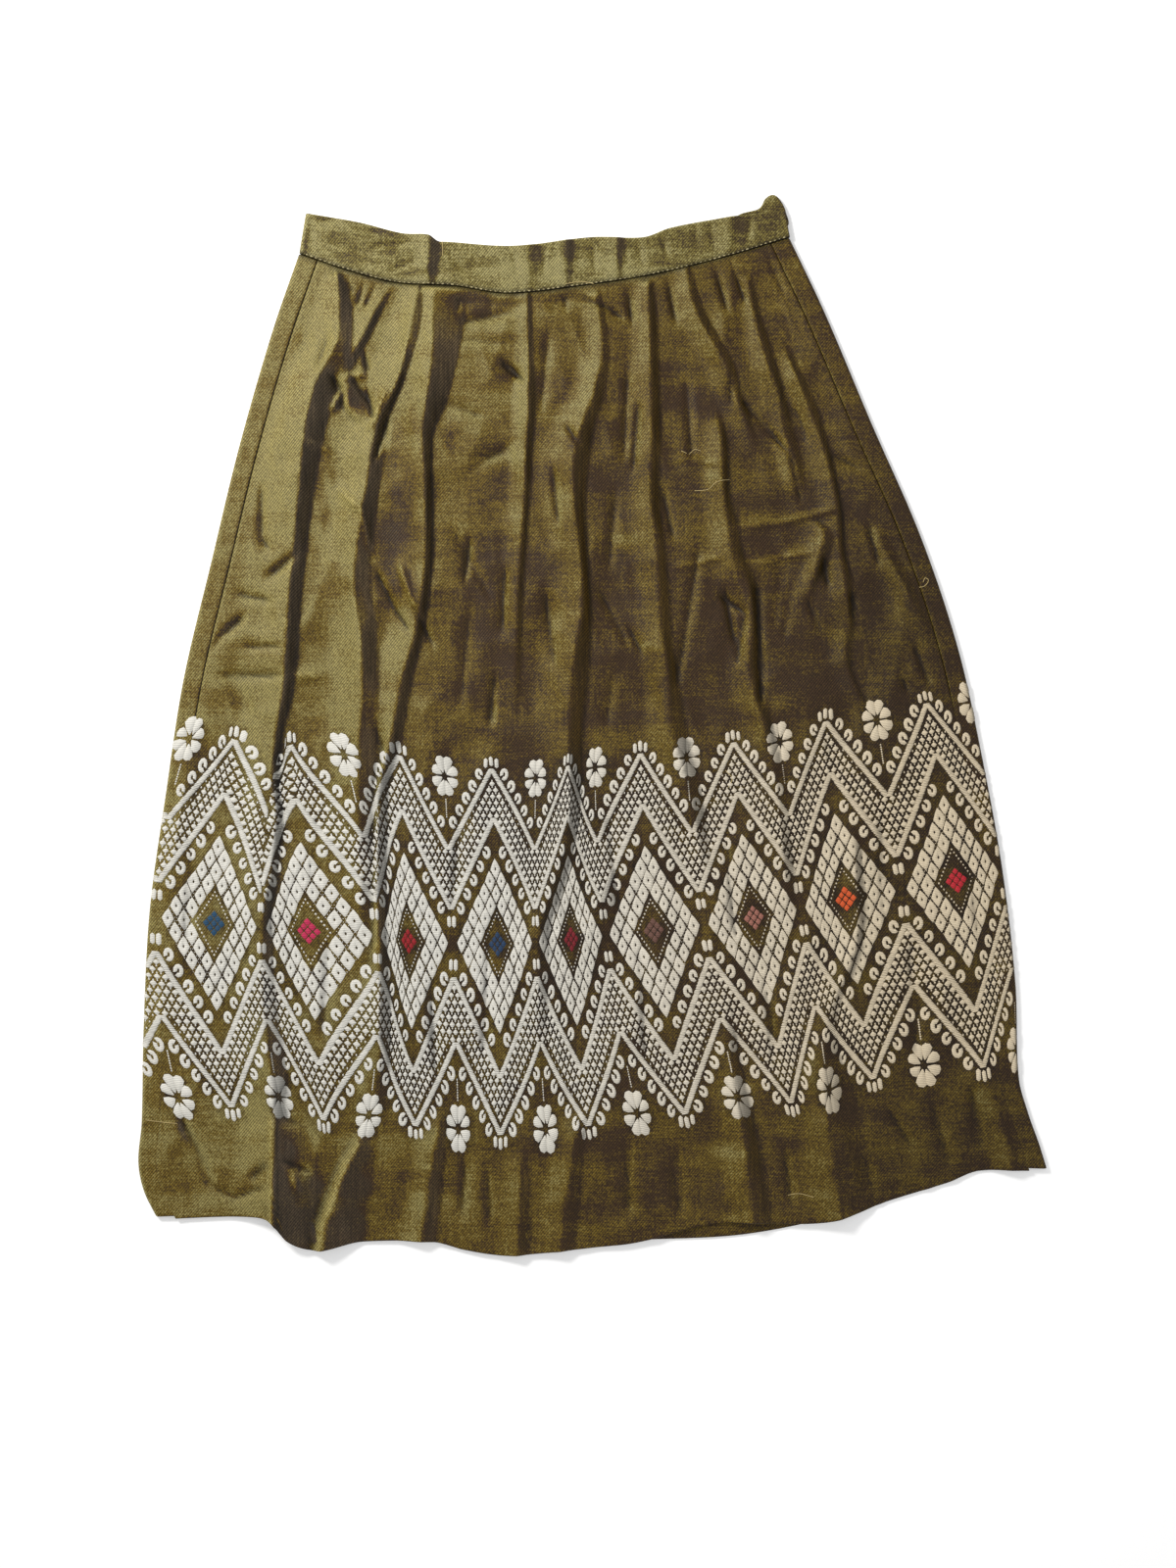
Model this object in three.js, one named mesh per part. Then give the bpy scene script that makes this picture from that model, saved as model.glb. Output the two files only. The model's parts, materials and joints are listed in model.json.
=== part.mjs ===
// An a-line midi skirt laid out face up, waist towards +Y, resting on the plane z = 0.
// Millimetres, +Z up. The origin is below the middle of the whole skirt.
// A straight-woven cloth tube is pleated into a narrow waistband. The back panel lies flat and
// turns up round both side edges to the side seams, and the pleated front panel lies on it.
import * as THREE from 'three';

// Driving dimensions.
const clothWall = 1.2; // skirt cloth
const waistbandWall = 2; // waistband cloth, folded double
const seamGap = 0.3; // clearance kept where two pieces meet
const sideHeight = 5; // height of the soft turn at each side edge
const waistbandHeight = 6.1; // height of the laid waistband, both layers
const sideWrap = 14; // how far the back panel comes round onto the front
const valleyHeight = 3.2; // top of the front cloth where it lies lowest
const pleatBulk = 3.6; // extra height that the gathered cloth gives the middle
const waistLeft = new THREE.Vector2(-220, 353); // waist seam at the left side edge
const waistRight = new THREE.Vector2(147, 365);
const hemLeft = new THREE.Vector2(-326, -370);
const hemRight = new THREE.Vector2(340.5, -334);
const bandTopLeft = new THREE.Vector2(-215, 383); // top edge of the waistband
const bandTopRight = new THREE.Vector2(143, 385);
const clothRows = 32; // mesh rows from waist to hem
const frontColumns = 46;
const backColumns = 20; // across the flat of the back, without its side turns
const turnSteps = 3; // mesh steps round each half of a side turn
const waistbandRows = 2;

// Side edges, at shares of the way down from the waist seam to the hem.
const sideRows = [
  { down: 0, left: -220, right: 147 },
  { down: 0.08, left: -240, right: 173.5 },
  { down: 0.2, left: -265, right: 209 },
  { down: 0.32, left: -286, right: 245.5 },
  { down: 0.44, left: -306.5, right: 273.5 },
  { down: 0.56, left: -320, right: 292 },
  { down: 0.68, left: -332, right: 307 },
  { down: 0.8, left: -336.5, right: 316.5 },
  { down: 0.9, left: -338, right: 319 },
  { down: 0.94, left: -340.5, right: 326.5 },
  { down: 0.97, left: -336.5, right: 334 },
  { down: 1, left: -326, right: 340.5 },
];

// Waist seam and top edge of the waistband, which sag towards the middle.
const waistRows = [
  { x: -220, y: 353 },
  { x: -186, y: 341 },
  { x: -148, y: 331 },
  { x: -104, y: 328.5 },
  { x: -64, y: 323 },
  { x: -10, y: 328.5 },
  { x: 45, y: 337 },
  { x: 102, y: 351 },
  { x: 147, y: 365 },
];
const bandTopRows = [
  { x: -215, y: 383 },
  { x: -175, y: 376 },
  { x: -143, y: 368 },
  { x: -113, y: 361 },
  { x: -59, y: 358.5 },
  { x: -1.5, y: 365 },
  { x: 38, y: 365 },
  { x: 58, y: 372 },
  { x: 102, y: 380 },
  { x: 143, y: 385 },
];

// Lower edge of the laid skirt: a step where the left pleat ends, then a long slant to the right.
const hemRows = [
  { x: -326, y: -370 },
  { x: -258, y: -368 },
  { x: -241, y: -371 },
  { x: -228, y: -386 },
  { x: -208, y: -393 },
  { x: -174, y: -387 },
  { x: -119, y: -387 },
  { x: -96, y: -393 },
  { x: -64, y: -397 },
  { x: -18, y: -393 },
  { x: 33, y: -388 },
  { x: 119, y: -381 },
  { x: 183, y: -370 },
  { x: 223, y: -356 },
  { x: 265, y: -343 },
  { x: 289, y: -334 },
  { x: 340.5, y: -334 },
];

// Pleats and folds of the front. Each runs from one y down to another, with its crest's x at
// five even heights, how far it rises, and how wide it falls away to its left and right.
const folds = [
  { name: 'outerLeft', from: 337, to: -369, x: [-190, -221, -234, -246, -238], rise: 9, left: 42, right: 14 },
  { name: 'lens', from: 329, to: -29, x: [-129, -154, -174, -174, -166], rise: 7, left: 24, right: 12 },
  { name: 'deep', from: 323, to: -389, x: [-107, -126, -157, -160, -206], rise: 10, left: 32, right: 16 },
  { name: 'deepFar', from: 323, to: 205, x: [-93, -95, -102, -112, -122], rise: 6, left: 11, right: 34 },
  { name: 'midLeft', from: 323, to: -15, x: [-49, -48, -53, -57, -60], rise: 5, left: 14, right: 26 },
  { name: 'centre', from: 323, to: -265, x: [2, -8, -18, -33, -33], rise: 8.5, left: 24, right: 16 },
  { name: 'midRight', from: 338, to: -13, x: [51, 48, 49, 53, 67], rise: 6, left: 12, right: 32 },
  { name: 'right', from: 343, to: 204, x: [69, 77, 96, 110, 120], rise: 5.5, left: 12, right: 24 },
  { name: 'rightLower', from: 220, to: 21, x: [96, 99, 108, 119, 125], rise: 5.5, left: 14, right: 26 },
  { name: 'farRight', from: 335, to: 173, x: [115, 123, 137, 145, 155], rise: 5, left: 12, right: 20 },
  { name: 'outerRight', from: 284, to: 15, x: [142, 168, 184, 190, 204], rise: 6, left: 12, right: 26 },
  { name: 'hemLeft', from: -290, to: -387, x: [-117, -121, -127, -130, -132], rise: 5, left: 24, right: 18 },
  { name: 'hemMiddle', from: -310, to: -395, x: [-54, -55, -57, -59, -61], rise: 4, left: 22, right: 18 },
  { name: 'hemCentre', from: -300, to: -391, x: [-14, -17, -20, -24, -28], rise: 4.5, left: 20, right: 18 },
  { name: 'hemRight', from: -190, to: -381, x: [100, 106, 110, 115, 120], rise: 6, left: 28, right: 22 },
  { name: 'hemFarRight', from: -60, to: -366, x: [196, 202, 206, 210, 214], rise: 6.5, left: 22, right: 34 },
];
const foldFade = 46; // length over which a fold dies out at each end
const pressedShare = 0.5; // part of a pleat's rise that is left at the waist seam
const pressedLength = 90; // way down from the waist seam over which a pleat opens
const waistReach = 320; // folds that start above this y start in the waist seam
const hemReach = -365; // folds that end below this y run out over the hem

// How the front cloth settles between its edges and its folds, in plan distances.
const sideBlend = 34; // from a side seam to the low inner cloth
const waistBlend = 40; // from the waist seam to the low inner cloth
const foldsFromSide = 18; // a fold is whole this far from a side seam
const bulkAtHem = 0.55; // share of the middle's extra height that is left at the hem
const steepestDrop = 1.8; // most that a steep side adds to the upright wall

// Upright creases pressed into the front of the waistband.
const waistbandCreases = [
  { x: -118, rise: 1.2, halfWidth: 9 },
  { x: -48, rise: 0.6, halfWidth: 12 },
  { x: -20, rise: 0.7, halfWidth: 12 },
  { x: 19, rise: 0.9, halfWidth: 12 },
  { x: 103, rise: 0.9, halfWidth: 14 },
];

// The front hem rides up in one place and shows the back hem below it.
const hemShow = { x: 104, halfWidth: 84, frontLift: 10, backLift: 2 };

// Closure hidden inside the right side seam, and the waistband's end tab above it.
const zipStart = 4; // its top end, below the waist seam
const zipLength = 180;
const zipRows = 9;
const zipTapeWidth = 12;
const zipTapeWall = 1;
const zipChainWidth = 4;
const zipChainRise = 0.8;
const tabWall = 1.5;
const tabOutline = [
  { x: 108, y: 360 },
  { x: 143.5, y: 371 },
  { x: 144.5, y: 384 },
  { x: 139.5, y: 394 },
  { x: 134.5, y: 397 },
  { x: 129, y: 394 },
  { x: 124, y: 386.5 },
  { x: 107, y: 380 },
];

const { clamp, lerp, smoothstep } = THREE.MathUtils;

// Smooth curve through a table's rows: the value in one named column at a place in another.
function readRows(rows, placeColumn, valueColumn, place) {
  const last = rows.length - 1;
  let k = 0;
  while (k < last - 1 && place > rows[k + 1][placeColumn]) k += 1;
  const slopeAt = (i) => {
    const before = rows[Math.max(i - 1, 0)];
    const after = rows[Math.min(i + 1, last)];
    return (after[valueColumn] - before[valueColumn]) / (after[placeColumn] - before[placeColumn]);
  };
  const span = rows[k + 1][placeColumn] - rows[k][placeColumn];
  const t = clamp((place - rows[k][placeColumn]) / span, 0, 1);
  const start = (1 + 2 * t) * (1 - t) ** 2 * rows[k][valueColumn];
  const end = t * t * (3 - 2 * t) * rows[k + 1][valueColumn];
  return start + end + span * (t * (1 - t) ** 2 * slopeAt(k) - t * t * (1 - t) * slopeAt(k + 1));
}

// Place on the laid skirt, seen from above: across 0 to 1 from left to right edge, down 0 to 1
// from waist seam to hem. The four edge curves are blended so that every edge is met exactly.
function planPoint(across, down) {
  const topX = lerp(waistLeft.x, waistRight.x, across);
  const hemX = lerp(hemLeft.x, hemRight.x, across);
  const topY = readRows(waistRows, 'x', 'y', topX);
  const hemY = readRows(hemRows, 'x', 'y', hemX);
  const leftX = readRows(sideRows, 'down', 'left', down);
  const rightX = readRows(sideRows, 'down', 'right', down);
  const leftY = lerp(waistLeft.y, hemLeft.y, down);
  const rightY = lerp(waistRight.y, hemRight.y, down);
  const cornerX = lerp(topX, hemX, down);
  const waistCornerY = lerp(waistLeft.y, waistRight.y, across);
  const cornerY = lerp(waistCornerY, lerp(hemLeft.y, hemRight.y, across), down);
  return new THREE.Vector2(
    lerp(leftX, rightX, across) + lerp(topX, hemX, down) - cornerX,
    lerp(topY, hemY, down) + lerp(leftY, rightY, across) - cornerY,
  );
}

function widthAt(down) {
  return readRows(sideRows, 'down', 'right', down) - readRows(sideRows, 'down', 'left', down);
}

// The cloth starts a seam gap below the waist seam and ends at the hem, less any lift there.
function downShare(row, across, liftAt) {
  const length = lerp(waistLeft.y - hemLeft.y, waistRight.y - hemRight.y, across);
  const hemX = lerp(hemLeft.x, hemRight.x, across);
  return lerp(seamGap / length, 1 - liftAt(hemX) / length, row / clothRows);
}

// How strongly the back hem shows at a place along the hem, 0 to 1.
function hemShowAt(x) {
  const t = clamp((x - hemShow.x) / hemShow.halfWidth, -1, 1);
  return Math.cos((t * Math.PI) / 2) ** 2;
}

const frontLift = (x) => hemShow.frontLift * hemShowAt(x);
const backLift = (x) => hemShow.backLift * (1 - hemShowAt(x));

// Height that one fold adds at a place: a crest with its own fall to each side.
function foldHeight(fold, x, y) {
  const step = fold.x.length - 1;
  const along = clamp((fold.from - y) / (fold.from - fold.to), 0, 1) * step;
  const k = Math.min(Math.floor(along), step - 1);
  const crestX = lerp(fold.x[k], fold.x[k + 1], along - k);
  const reach = x < crestX ? fold.left : fold.right;
  const topShare = fold.from > waistReach
    ? lerp(pressedShare, 1, smoothstep(fold.from - y, 0, pressedLength))
    : smoothstep(fold.from - y, 0, foldFade);
  const lowShare = fold.to < hemReach ? 1 : smoothstep(y - fold.to, 0, foldFade);
  return fold.rise * topShare * lowShare * smoothstep(1 - Math.abs(x - crestX) / reach, 0, 1);
}

// Top of the front cloth: level with the side turns and the waistband at its edges, bulkier in
// the middle where the pleats are gathered, with the folds on that.
function frontHeight(across, down, x, y) {
  const fromSide = Math.min(across, 1 - across) * widthAt(down) - sideWrap;
  const fromWaist = down * (waistLeft.y - hemLeft.y);
  const inland = smoothstep(fromSide, 0, sideBlend) * smoothstep(fromWaist, 0, waistBlend);
  const edge = lerp(waistbandHeight, sideHeight, smoothstep(fromWaist, 0, waistBlend));
  const bulk = pleatBulk * Math.sin(Math.PI * across) * lerp(1, bulkAtHem, down);
  const raised = folds.reduce((sum, fold) => sum + foldHeight(fold, x, y), 0);
  return lerp(edge, valleyHeight + bulk, inland) + raised * smoothstep(fromSide, 0, foldsFromSide);
}

// One closed body from an outer and an inner grid of points, joined round their rim.
function closedWall(columns, rows, outerAt, innerAt) {
  const points = [];
  [outerAt, innerAt].forEach((pointAt) => {
    for (let j = 0; j <= rows; j += 1) {
      for (let i = 0; i <= columns; i += 1) points.push(pointAt(i, j));
    }
  });
  const layer = (columns + 1) * (rows + 1);
  const outer = (i, j) => j * (columns + 1) + i;
  const inner = (i, j) => layer + outer(i, j);
  const faces = [];
  const quad = (a, b, c, d) => faces.push(a, b, c, a, c, d);
  for (let j = 0; j < rows; j += 1) {
    for (let i = 0; i < columns; i += 1) {
      quad(outer(i, j), outer(i, j + 1), outer(i + 1, j + 1), outer(i + 1, j));
      quad(inner(i, j), inner(i + 1, j), inner(i + 1, j + 1), inner(i, j + 1));
    }
  }
  for (let i = 0; i < columns; i += 1) {
    quad(outer(i, 0), outer(i + 1, 0), inner(i + 1, 0), inner(i, 0));
    quad(outer(i + 1, rows), outer(i, rows), inner(i, rows), inner(i + 1, rows));
  }
  for (let j = 0; j < rows; j += 1) {
    quad(outer(0, j + 1), outer(0, j), inner(0, j), inner(0, j + 1));
    quad(outer(columns, j), outer(columns, j + 1), inner(columns, j + 1), inner(columns, j));
  }
  const geometry = new THREE.BufferGeometry().setFromPoints(points);
  geometry.setIndex(facingOut(points, faces));
  geometry.computeVertexNormals();
  return geometry;
}

// Turns every face round if the body came out inside out.
function facingOut(points, faces) {
  const cross = new THREE.Vector3();
  let volume = 0;
  for (let k = 0; k < faces.length; k += 3) {
    const [a, b, c] = [points[faces[k]], points[faces[k + 1]], points[faces[k + 2]]];
    volume += a.dot(cross.crossVectors(b, c));
  }
  return volume > 0 ? faces : faces.reverse();
}

// The pleated front. Its wall is measured upright but grows with the slope, so that a steep side
// is as thick as the rest, and it stays a seam gap above the back.
function makeFrontPanel() {
  const slopeStep = 2;
  const underLimit = clothWall + seamGap;
  const placeAt = (i, j) => {
    const share = i / frontColumns;
    const down = downShare(j, share, frontLift);
    const inset = (sideWrap + seamGap) / widthAt(down);
    const across = lerp(inset, 1 - inset, share);
    const plan = planPoint(across, down);
    const heightBeside = (dx, dy) => frontHeight(across, down, plan.x + dx, plan.y + dy);
    return { plan, heightBeside };
  };
  const outerAt = (i, j) => {
    const { plan, heightBeside } = placeAt(i, j);
    return new THREE.Vector3(plan.x, plan.y, heightBeside(0, 0));
  };
  const innerAt = (i, j) => {
    const { plan, heightBeside } = placeAt(i, j);
    const slopeX = (heightBeside(slopeStep, 0) - heightBeside(-slopeStep, 0)) / (2 * slopeStep);
    const slopeY = (heightBeside(0, slopeStep) - heightBeside(0, -slopeStep)) / (2 * slopeStep);
    const drop = clothWall * Math.min(Math.hypot(1, slopeX, slopeY), steepestDrop);
    return new THREE.Vector3(plan.x, plan.y, Math.max(heightBeside(0, 0) - drop, underLimit));
  };
  return closedWall(frontColumns, clothRows, outerAt, innerAt);
}

// Round turn at a side edge: distance in from the edge and height, from its top to its bottom.
function turnSection(height, inset) {
  const radius = height / 2;
  const steps = turnSteps * 2;
  return Array.from({ length: steps + 1 }, (_, k) => {
    const angle = (Math.PI * k) / steps;
    return {
      inward: radius - (radius - inset) * Math.sin(angle),
      z: radius + (radius - inset) * Math.cos(angle),
    };
  });
}

// Stations round the back panel, from the left seam under the skirt to the right seam. Those on
// a side give their distance in from that edge, and those on the flat give their share of it.
function backSection(inset) {
  const radius = sideHeight / 2;
  const flap = [sideWrap, (sideWrap + radius) / 2].map((inward) => ({ inward, z: sideHeight - inset }));
  const side = flap.concat(turnSection(sideHeight, inset));
  const left = side.map((station) => ({ ...station, acrossAt: (width) => station.inward / width }));
  const right = side.map((station) => ({ ...station, acrossAt: (width) => 1 - station.inward / width }));
  const flat = Array.from({ length: backColumns - 1 }, (_, k) => ({
    z: inset,
    acrossAt: (width) => lerp(radius / width, 1 - radius / width, (k + 1) / backColumns),
  }));
  return left.concat(flat, right.reverse());
}

// The flat back, turned up round both side edges as far as the side seams.
function makeBackPanel() {
  const pointOn = (section) => (i, j) => {
    const across = section[i].acrossAt(widthAt(j / clothRows));
    const plan = planPoint(across, downShare(j, across, backLift));
    return new THREE.Vector3(plan.x, plan.y, section[i].z);
  };
  const outer = backSection(0);
  const inner = backSection(clothWall);
  return closedWall(outer.length - 1, clothRows, pointOn(outer), pointOn(inner));
}

// Stations round the waistband, from its right end across the front, round the left side and
// back behind to the right.
function waistbandSection(inset) {
  const width = waistRight.x - waistLeft.x;
  const turnShare = waistbandHeight / 2 / width;
  const front = Array.from({ length: frontColumns }, (_, k) => ({
    across: lerp(1, turnShare, k / frontColumns),
    z: waistbandHeight - inset,
    creased: true,
  }));
  const turn = turnSection(waistbandHeight, inset).map(({ inward, z }) => ({ across: inward / width, z }));
  const back = Array.from({ length: backColumns }, (_, k) => ({
    across: lerp(turnShare, 1, (k + 1) / backColumns),
    z: inset,
  }));
  return front.concat(turn, back);
}

function waistbandCreaseHeight(x) {
  const crest = (crease) => smoothstep(1 - Math.abs(x - crease.x) / crease.halfWidth, 0, 1);
  return waistbandCreases.reduce((sum, crease) => sum + crease.rise * crest(crease), 0);
}

// The waistband: one strip from the waist seam up to its top fold, as long as the waist.
function makeWaistband() {
  const pointOn = (section) => (i, j) => {
    const { across, z, creased } = section[i];
    const seamX = lerp(waistLeft.x, waistRight.x, across);
    const topX = lerp(bandTopLeft.x, bandTopRight.x, across);
    const up = j / waistbandRows;
    const x = lerp(seamX, topX, up);
    const y = lerp(readRows(waistRows, 'x', 'y', seamX), readRows(bandTopRows, 'x', 'y', topX), up);
    return new THREE.Vector3(x, y, creased ? z + waistbandCreaseHeight(x) : z);
  };
  const outer = waistbandSection(0);
  const inner = waistbandSection(waistbandWall);
  return closedWall(outer.length - 1, waistbandRows, pointOn(outer), pointOn(inner));
}

// The waistband's end tab, tucked between its two layers at the right and standing above them.
function makeWaistbandTab() {
  const outline = new THREE.Shape(tabOutline.map((p) => new THREE.Vector2(p.x, p.y)));
  const geometry = new THREE.ExtrudeGeometry(outline, { depth: tabWall, bevelEnabled: false });
  geometry.translate(0, 0, waistbandWall + seamGap);
  return geometry;
}

// The closed zip: a tape with a raised chain down its middle, along the right side seam.
function makeSideZip() {
  const halfTape = zipTapeWidth / 2;
  const halfChain = zipChainWidth / 2;
  const stations = [
    { offset: -halfTape, top: zipTapeWall },
    { offset: -halfChain - zipChainRise, top: zipTapeWall },
    { offset: -halfChain, top: zipTapeWall + zipChainRise },
    { offset: halfChain, top: zipTapeWall + zipChainRise },
    { offset: halfChain + zipChainRise, top: zipTapeWall },
    { offset: halfTape, top: zipTapeWall },
  ];
  const base = clothWall + seamGap;
  const pointAt = (heightOf) => (i, j) => {
    const down = lerp(zipStart, zipLength, j / zipRows) / (waistRight.y - hemRight.y);
    const across = 1 - (sideWrap - stations[i].offset) / widthAt(down);
    const plan = planPoint(across, down);
    return new THREE.Vector3(plan.x, plan.y, base + heightOf(stations[i]));
  };
  return closedWall(stations.length - 1, zipRows, pointAt((s) => s.top), pointAt(() => 0));
}

function namedMesh(name, geometry, color, roughness) {
  const material = new THREE.MeshStandardMaterial({ color, roughness, metalness: 0 });
  const mesh = new THREE.Mesh(geometry, material);
  mesh.name = name;
  return mesh;
}

const skirt = new THREE.Group();
skirt.add(
  namedMesh('front_panel', makeFrontPanel(), 0x6e6233, 0.62),
  namedMesh('back_panel', makeBackPanel(), 0x665a30, 0.62),
  namedMesh('waistband', makeWaistband(), 0x77693a, 0.64),
  namedMesh('waistband_tab', makeWaistbandTab(), 0x6b5f36, 0.64),
  namedMesh('side_zip', makeSideZip(), 0x3a3226, 0.7),
);

export default skirt;
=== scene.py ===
# A midi skirt of shot silk with a wide woven band, laid face up on a pale table.
# The tables are in millimetres of the laid skirt, seen from above; meshes are made in metres.
import json
import math
import bmesh
import bpy
import numpy as np
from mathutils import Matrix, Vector

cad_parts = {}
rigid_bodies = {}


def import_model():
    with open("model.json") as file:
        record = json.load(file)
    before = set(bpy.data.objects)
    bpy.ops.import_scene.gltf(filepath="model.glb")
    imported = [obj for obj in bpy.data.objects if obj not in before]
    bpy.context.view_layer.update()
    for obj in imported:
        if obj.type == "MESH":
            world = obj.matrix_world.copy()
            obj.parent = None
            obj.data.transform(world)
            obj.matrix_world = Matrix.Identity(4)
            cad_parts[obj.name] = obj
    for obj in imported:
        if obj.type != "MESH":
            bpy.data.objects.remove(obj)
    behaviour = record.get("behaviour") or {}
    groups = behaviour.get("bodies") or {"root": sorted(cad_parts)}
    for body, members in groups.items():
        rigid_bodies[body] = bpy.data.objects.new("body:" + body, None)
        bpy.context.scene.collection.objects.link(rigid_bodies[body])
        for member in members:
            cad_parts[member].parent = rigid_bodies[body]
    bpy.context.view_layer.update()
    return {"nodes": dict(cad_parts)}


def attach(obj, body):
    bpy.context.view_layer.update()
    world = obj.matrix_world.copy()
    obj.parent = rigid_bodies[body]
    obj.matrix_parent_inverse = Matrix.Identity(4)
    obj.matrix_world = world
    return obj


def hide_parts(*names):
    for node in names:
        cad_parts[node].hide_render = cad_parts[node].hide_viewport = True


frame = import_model()
mm = 0.001
rootBody = "root"


def table(columns, *rows):
    return dict(zip(columns.split(), np.array(rows, float).T))


def smooth(value, low=0.0, high=1.0):
    t = np.clip((value - low) / (high - low), 0, 1)
    return t * t * (3 - 2 * t)


def mix(a, b, share):
    return a + (b - a) * share


# smooth curve through a table's rows, for many places at once
def readRows(rows, placeColumn, valueColumn, place):
    places, values = rows[placeColumn], rows[valueColumn]
    if places[0] > places[-1]:
        places, values = places[::-1], values[::-1]
    last = len(places) - 1
    before = np.maximum(np.arange(last + 1) - 1, 0)
    after = np.minimum(np.arange(last + 1) + 1, last)
    slopes = (values[after] - values[before]) / (places[after] - places[before])
    k = np.clip(np.searchsorted(places, place, side="right") - 1, 0, last - 1)
    span = places[k + 1] - places[k]
    t = np.clip((place - places[k]) / span, 0, 1)
    start = (1 + 2 * t) * (1 - t) ** 2 * values[k]
    end = t * t * (3 - 2 * t) * values[k + 1]
    return start + end + span * (t * (1 - t) ** 2 * slopes[k] - t * t * (1 - t) * slopes[k + 1])


latticeSize = 128  # the noise repeats after this many steps
latticeShift = (40.3, 40.7)


# uneven ground from a lattice of fixed random heights, about -1 to 1
def softNoise(x, y, size, seed, stretch=1.0):
    lattice = np.random.RandomState(seed).uniform(-1, 1, (latticeSize, latticeSize))
    u, v = x / size + latticeShift[0], y / (size * stretch) + latticeShift[1]
    i, j = np.floor(u).astype(int), np.floor(v).astype(int)
    fu, fv = smooth(u - i), smooth(v - j)
    i, j, nextI, nextJ = (k % latticeSize for k in (i, j, i + 1, j + 1))
    low = mix(lattice[i, j], lattice[nextI, j], fu)
    high = mix(lattice[i, nextJ], lattice[nextI, nextJ], fu)
    return mix(low, high, fv)


# camera, light and table top

studio = dict(
    viewX=-3.7, viewY=-44.1, viewHeight=1176.0, lens=60.0, sensor=36.0, lightAim=(0, -0.04, 0),
    keyPlace=(-0.95, 0.85, 1.15), keySize=0.42, keyPower=24.0, keyColor=(1.0, 0.985, 0.96),
    fillPlace=(0.9, -0.5, 1.6), fillSize=1.8, fillPower=3.5, fillColor=(0.95, 0.97, 1.0),
    skyStrength=0.5, tableColor=(0.93, 0.93, 0.93), tableGlow=0.25, tableRoughness=0.9, tableSize=6.0,
)


def makeCamera():
    camera = bpy.data.objects.new("overheadCamera", bpy.data.cameras.new("overheadCamera"))
    camera.data.lens = studio["lens"]
    camera.data.sensor_width = studio["sensor"]
    distance = studio["viewHeight"] * mm * studio["lens"] / studio["sensor"]
    camera.location = (studio["viewX"] * mm, studio["viewY"] * mm, distance)
    bpy.context.scene.collection.objects.link(camera)
    bpy.context.scene.camera = camera
    bpy.context.scene.view_settings.view_transform = "Standard"


def makeLight(name, kind):
    place, size, power, color = (studio[kind + part] for part in ("Place", "Size", "Power", "Color"))
    light = bpy.data.lights.new(name, "AREA")
    light.shape = "DISK"
    light.size = size
    light.energy = power
    light.color = color
    item = bpy.data.objects.new(name, light)
    item.location = place
    aim = Vector(studio["lightAim"]) - item.location
    item.rotation_euler = aim.to_track_quat("-Z", "Y").to_euler()
    bpy.context.scene.collection.objects.link(item)


def makeRoom():
    world = bpy.data.worlds.new("paleRoom")
    world.use_nodes = True
    sky = world.node_tree.nodes["Background"].inputs
    sky["Color"].default_value = (1, 1, 1, 1)
    sky["Strength"].default_value = studio["skyStrength"]
    bpy.context.scene.world = world


def makeTableTop():
    half = studio["tableSize"] / 2
    corners = [(-half, -half, 0), (half, -half, 0), (half, half, 0), (-half, half, 0)]
    mesh = bpy.data.meshes.new("tableTop")
    mesh.from_pydata(corners, [], [(0, 1, 2, 3)])
    paper = bpy.data.materials.new("palePaper")
    paper.use_nodes = True
    finish = paper.node_tree.nodes["Principled BSDF"].inputs
    finish["Base Color"].default_value = (*studio["tableColor"], 1)
    finish["Emission Color"].default_value = (1, 1, 1, 1)
    finish["Emission Strength"].default_value = studio["tableGlow"]
    finish["Roughness"].default_value = studio["tableRoughness"]
    mesh.materials.append(paper)
    top = bpy.data.objects.new("tableTop", mesh)
    bpy.context.scene.collection.objects.link(top)


makeCamera()
makeLight("windowLight", "key")
makeLight("fillLight", "fill")
makeRoom()
makeTableTop()
print("camera, light and table are set")

# the laid outline, the same as the frame's

outline = dict(
    waistLeft=(-220.0, 353.0), waistRight=(147.0, 365.0), hemLeft=(-326.0, -370.0), hemRight=(340.5, -334.0),
    bandTopLeft=(-215.0, 383.0), bandTopRight=(143.0, 385.0), seamGap=0.3, sideWrap=14.0, sideHeight=5.0,
    sideRows=table(
        "down left right",
        (0, -220, 147), (0.08, -240, 173.5), (0.2, -265, 209), (0.32, -286, 245.5), (0.44, -306.5, 273.5),
        (0.56, -320, 292), (0.68, -332, 307), (0.8, -336.5, 316.5), (0.9, -338, 319), (0.94, -340.5, 326.5),
        (0.97, -336.5, 334), (1, -326, 340.5),
    ),
    waistRows=table(
        "x y",
        (-220, 353), (-186, 341), (-148, 331), (-104, 328.5), (-64, 323), (-10, 328.5), (45, 337),
        (102, 351), (147, 365),
    ),
    bandTopRows=table(
        "x y",
        (-215, 383), (-175, 376), (-143, 368), (-123, 366.5), (-116, 362), (-109, 361.5), (-59, 358.5),
        (-1.5, 365), (38, 365), (58, 372), (102, 380), (143, 385),
    ),
    hemRows=table(
        "x y",
        (-326, -370), (-258, -368), (-241, -371), (-228, -386), (-208, -393), (-174, -387), (-119, -387),
        (-96, -393), (-64, -397), (-18, -393), (33, -388), (119, -381), (183, -370), (223, -356),
        (265, -343), (289, -334), (340.5, -334),
    ),
    hemShow=dict(x=104.0, halfWidth=84.0, frontLift=10.0, backLift=2.0),
    firstTop=350.0, firstLength=730.0, shareRounds=9,  # where the search for a share down starts
)
leftLength = outline["waistLeft"][1] - outline["hemLeft"][1]
rightLength = outline["waistRight"][1] - outline["hemRight"][1]


def widthAt(down):
    rows = outline["sideRows"]
    return readRows(rows, "down", "right", down) - readRows(rows, "down", "left", down)


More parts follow.
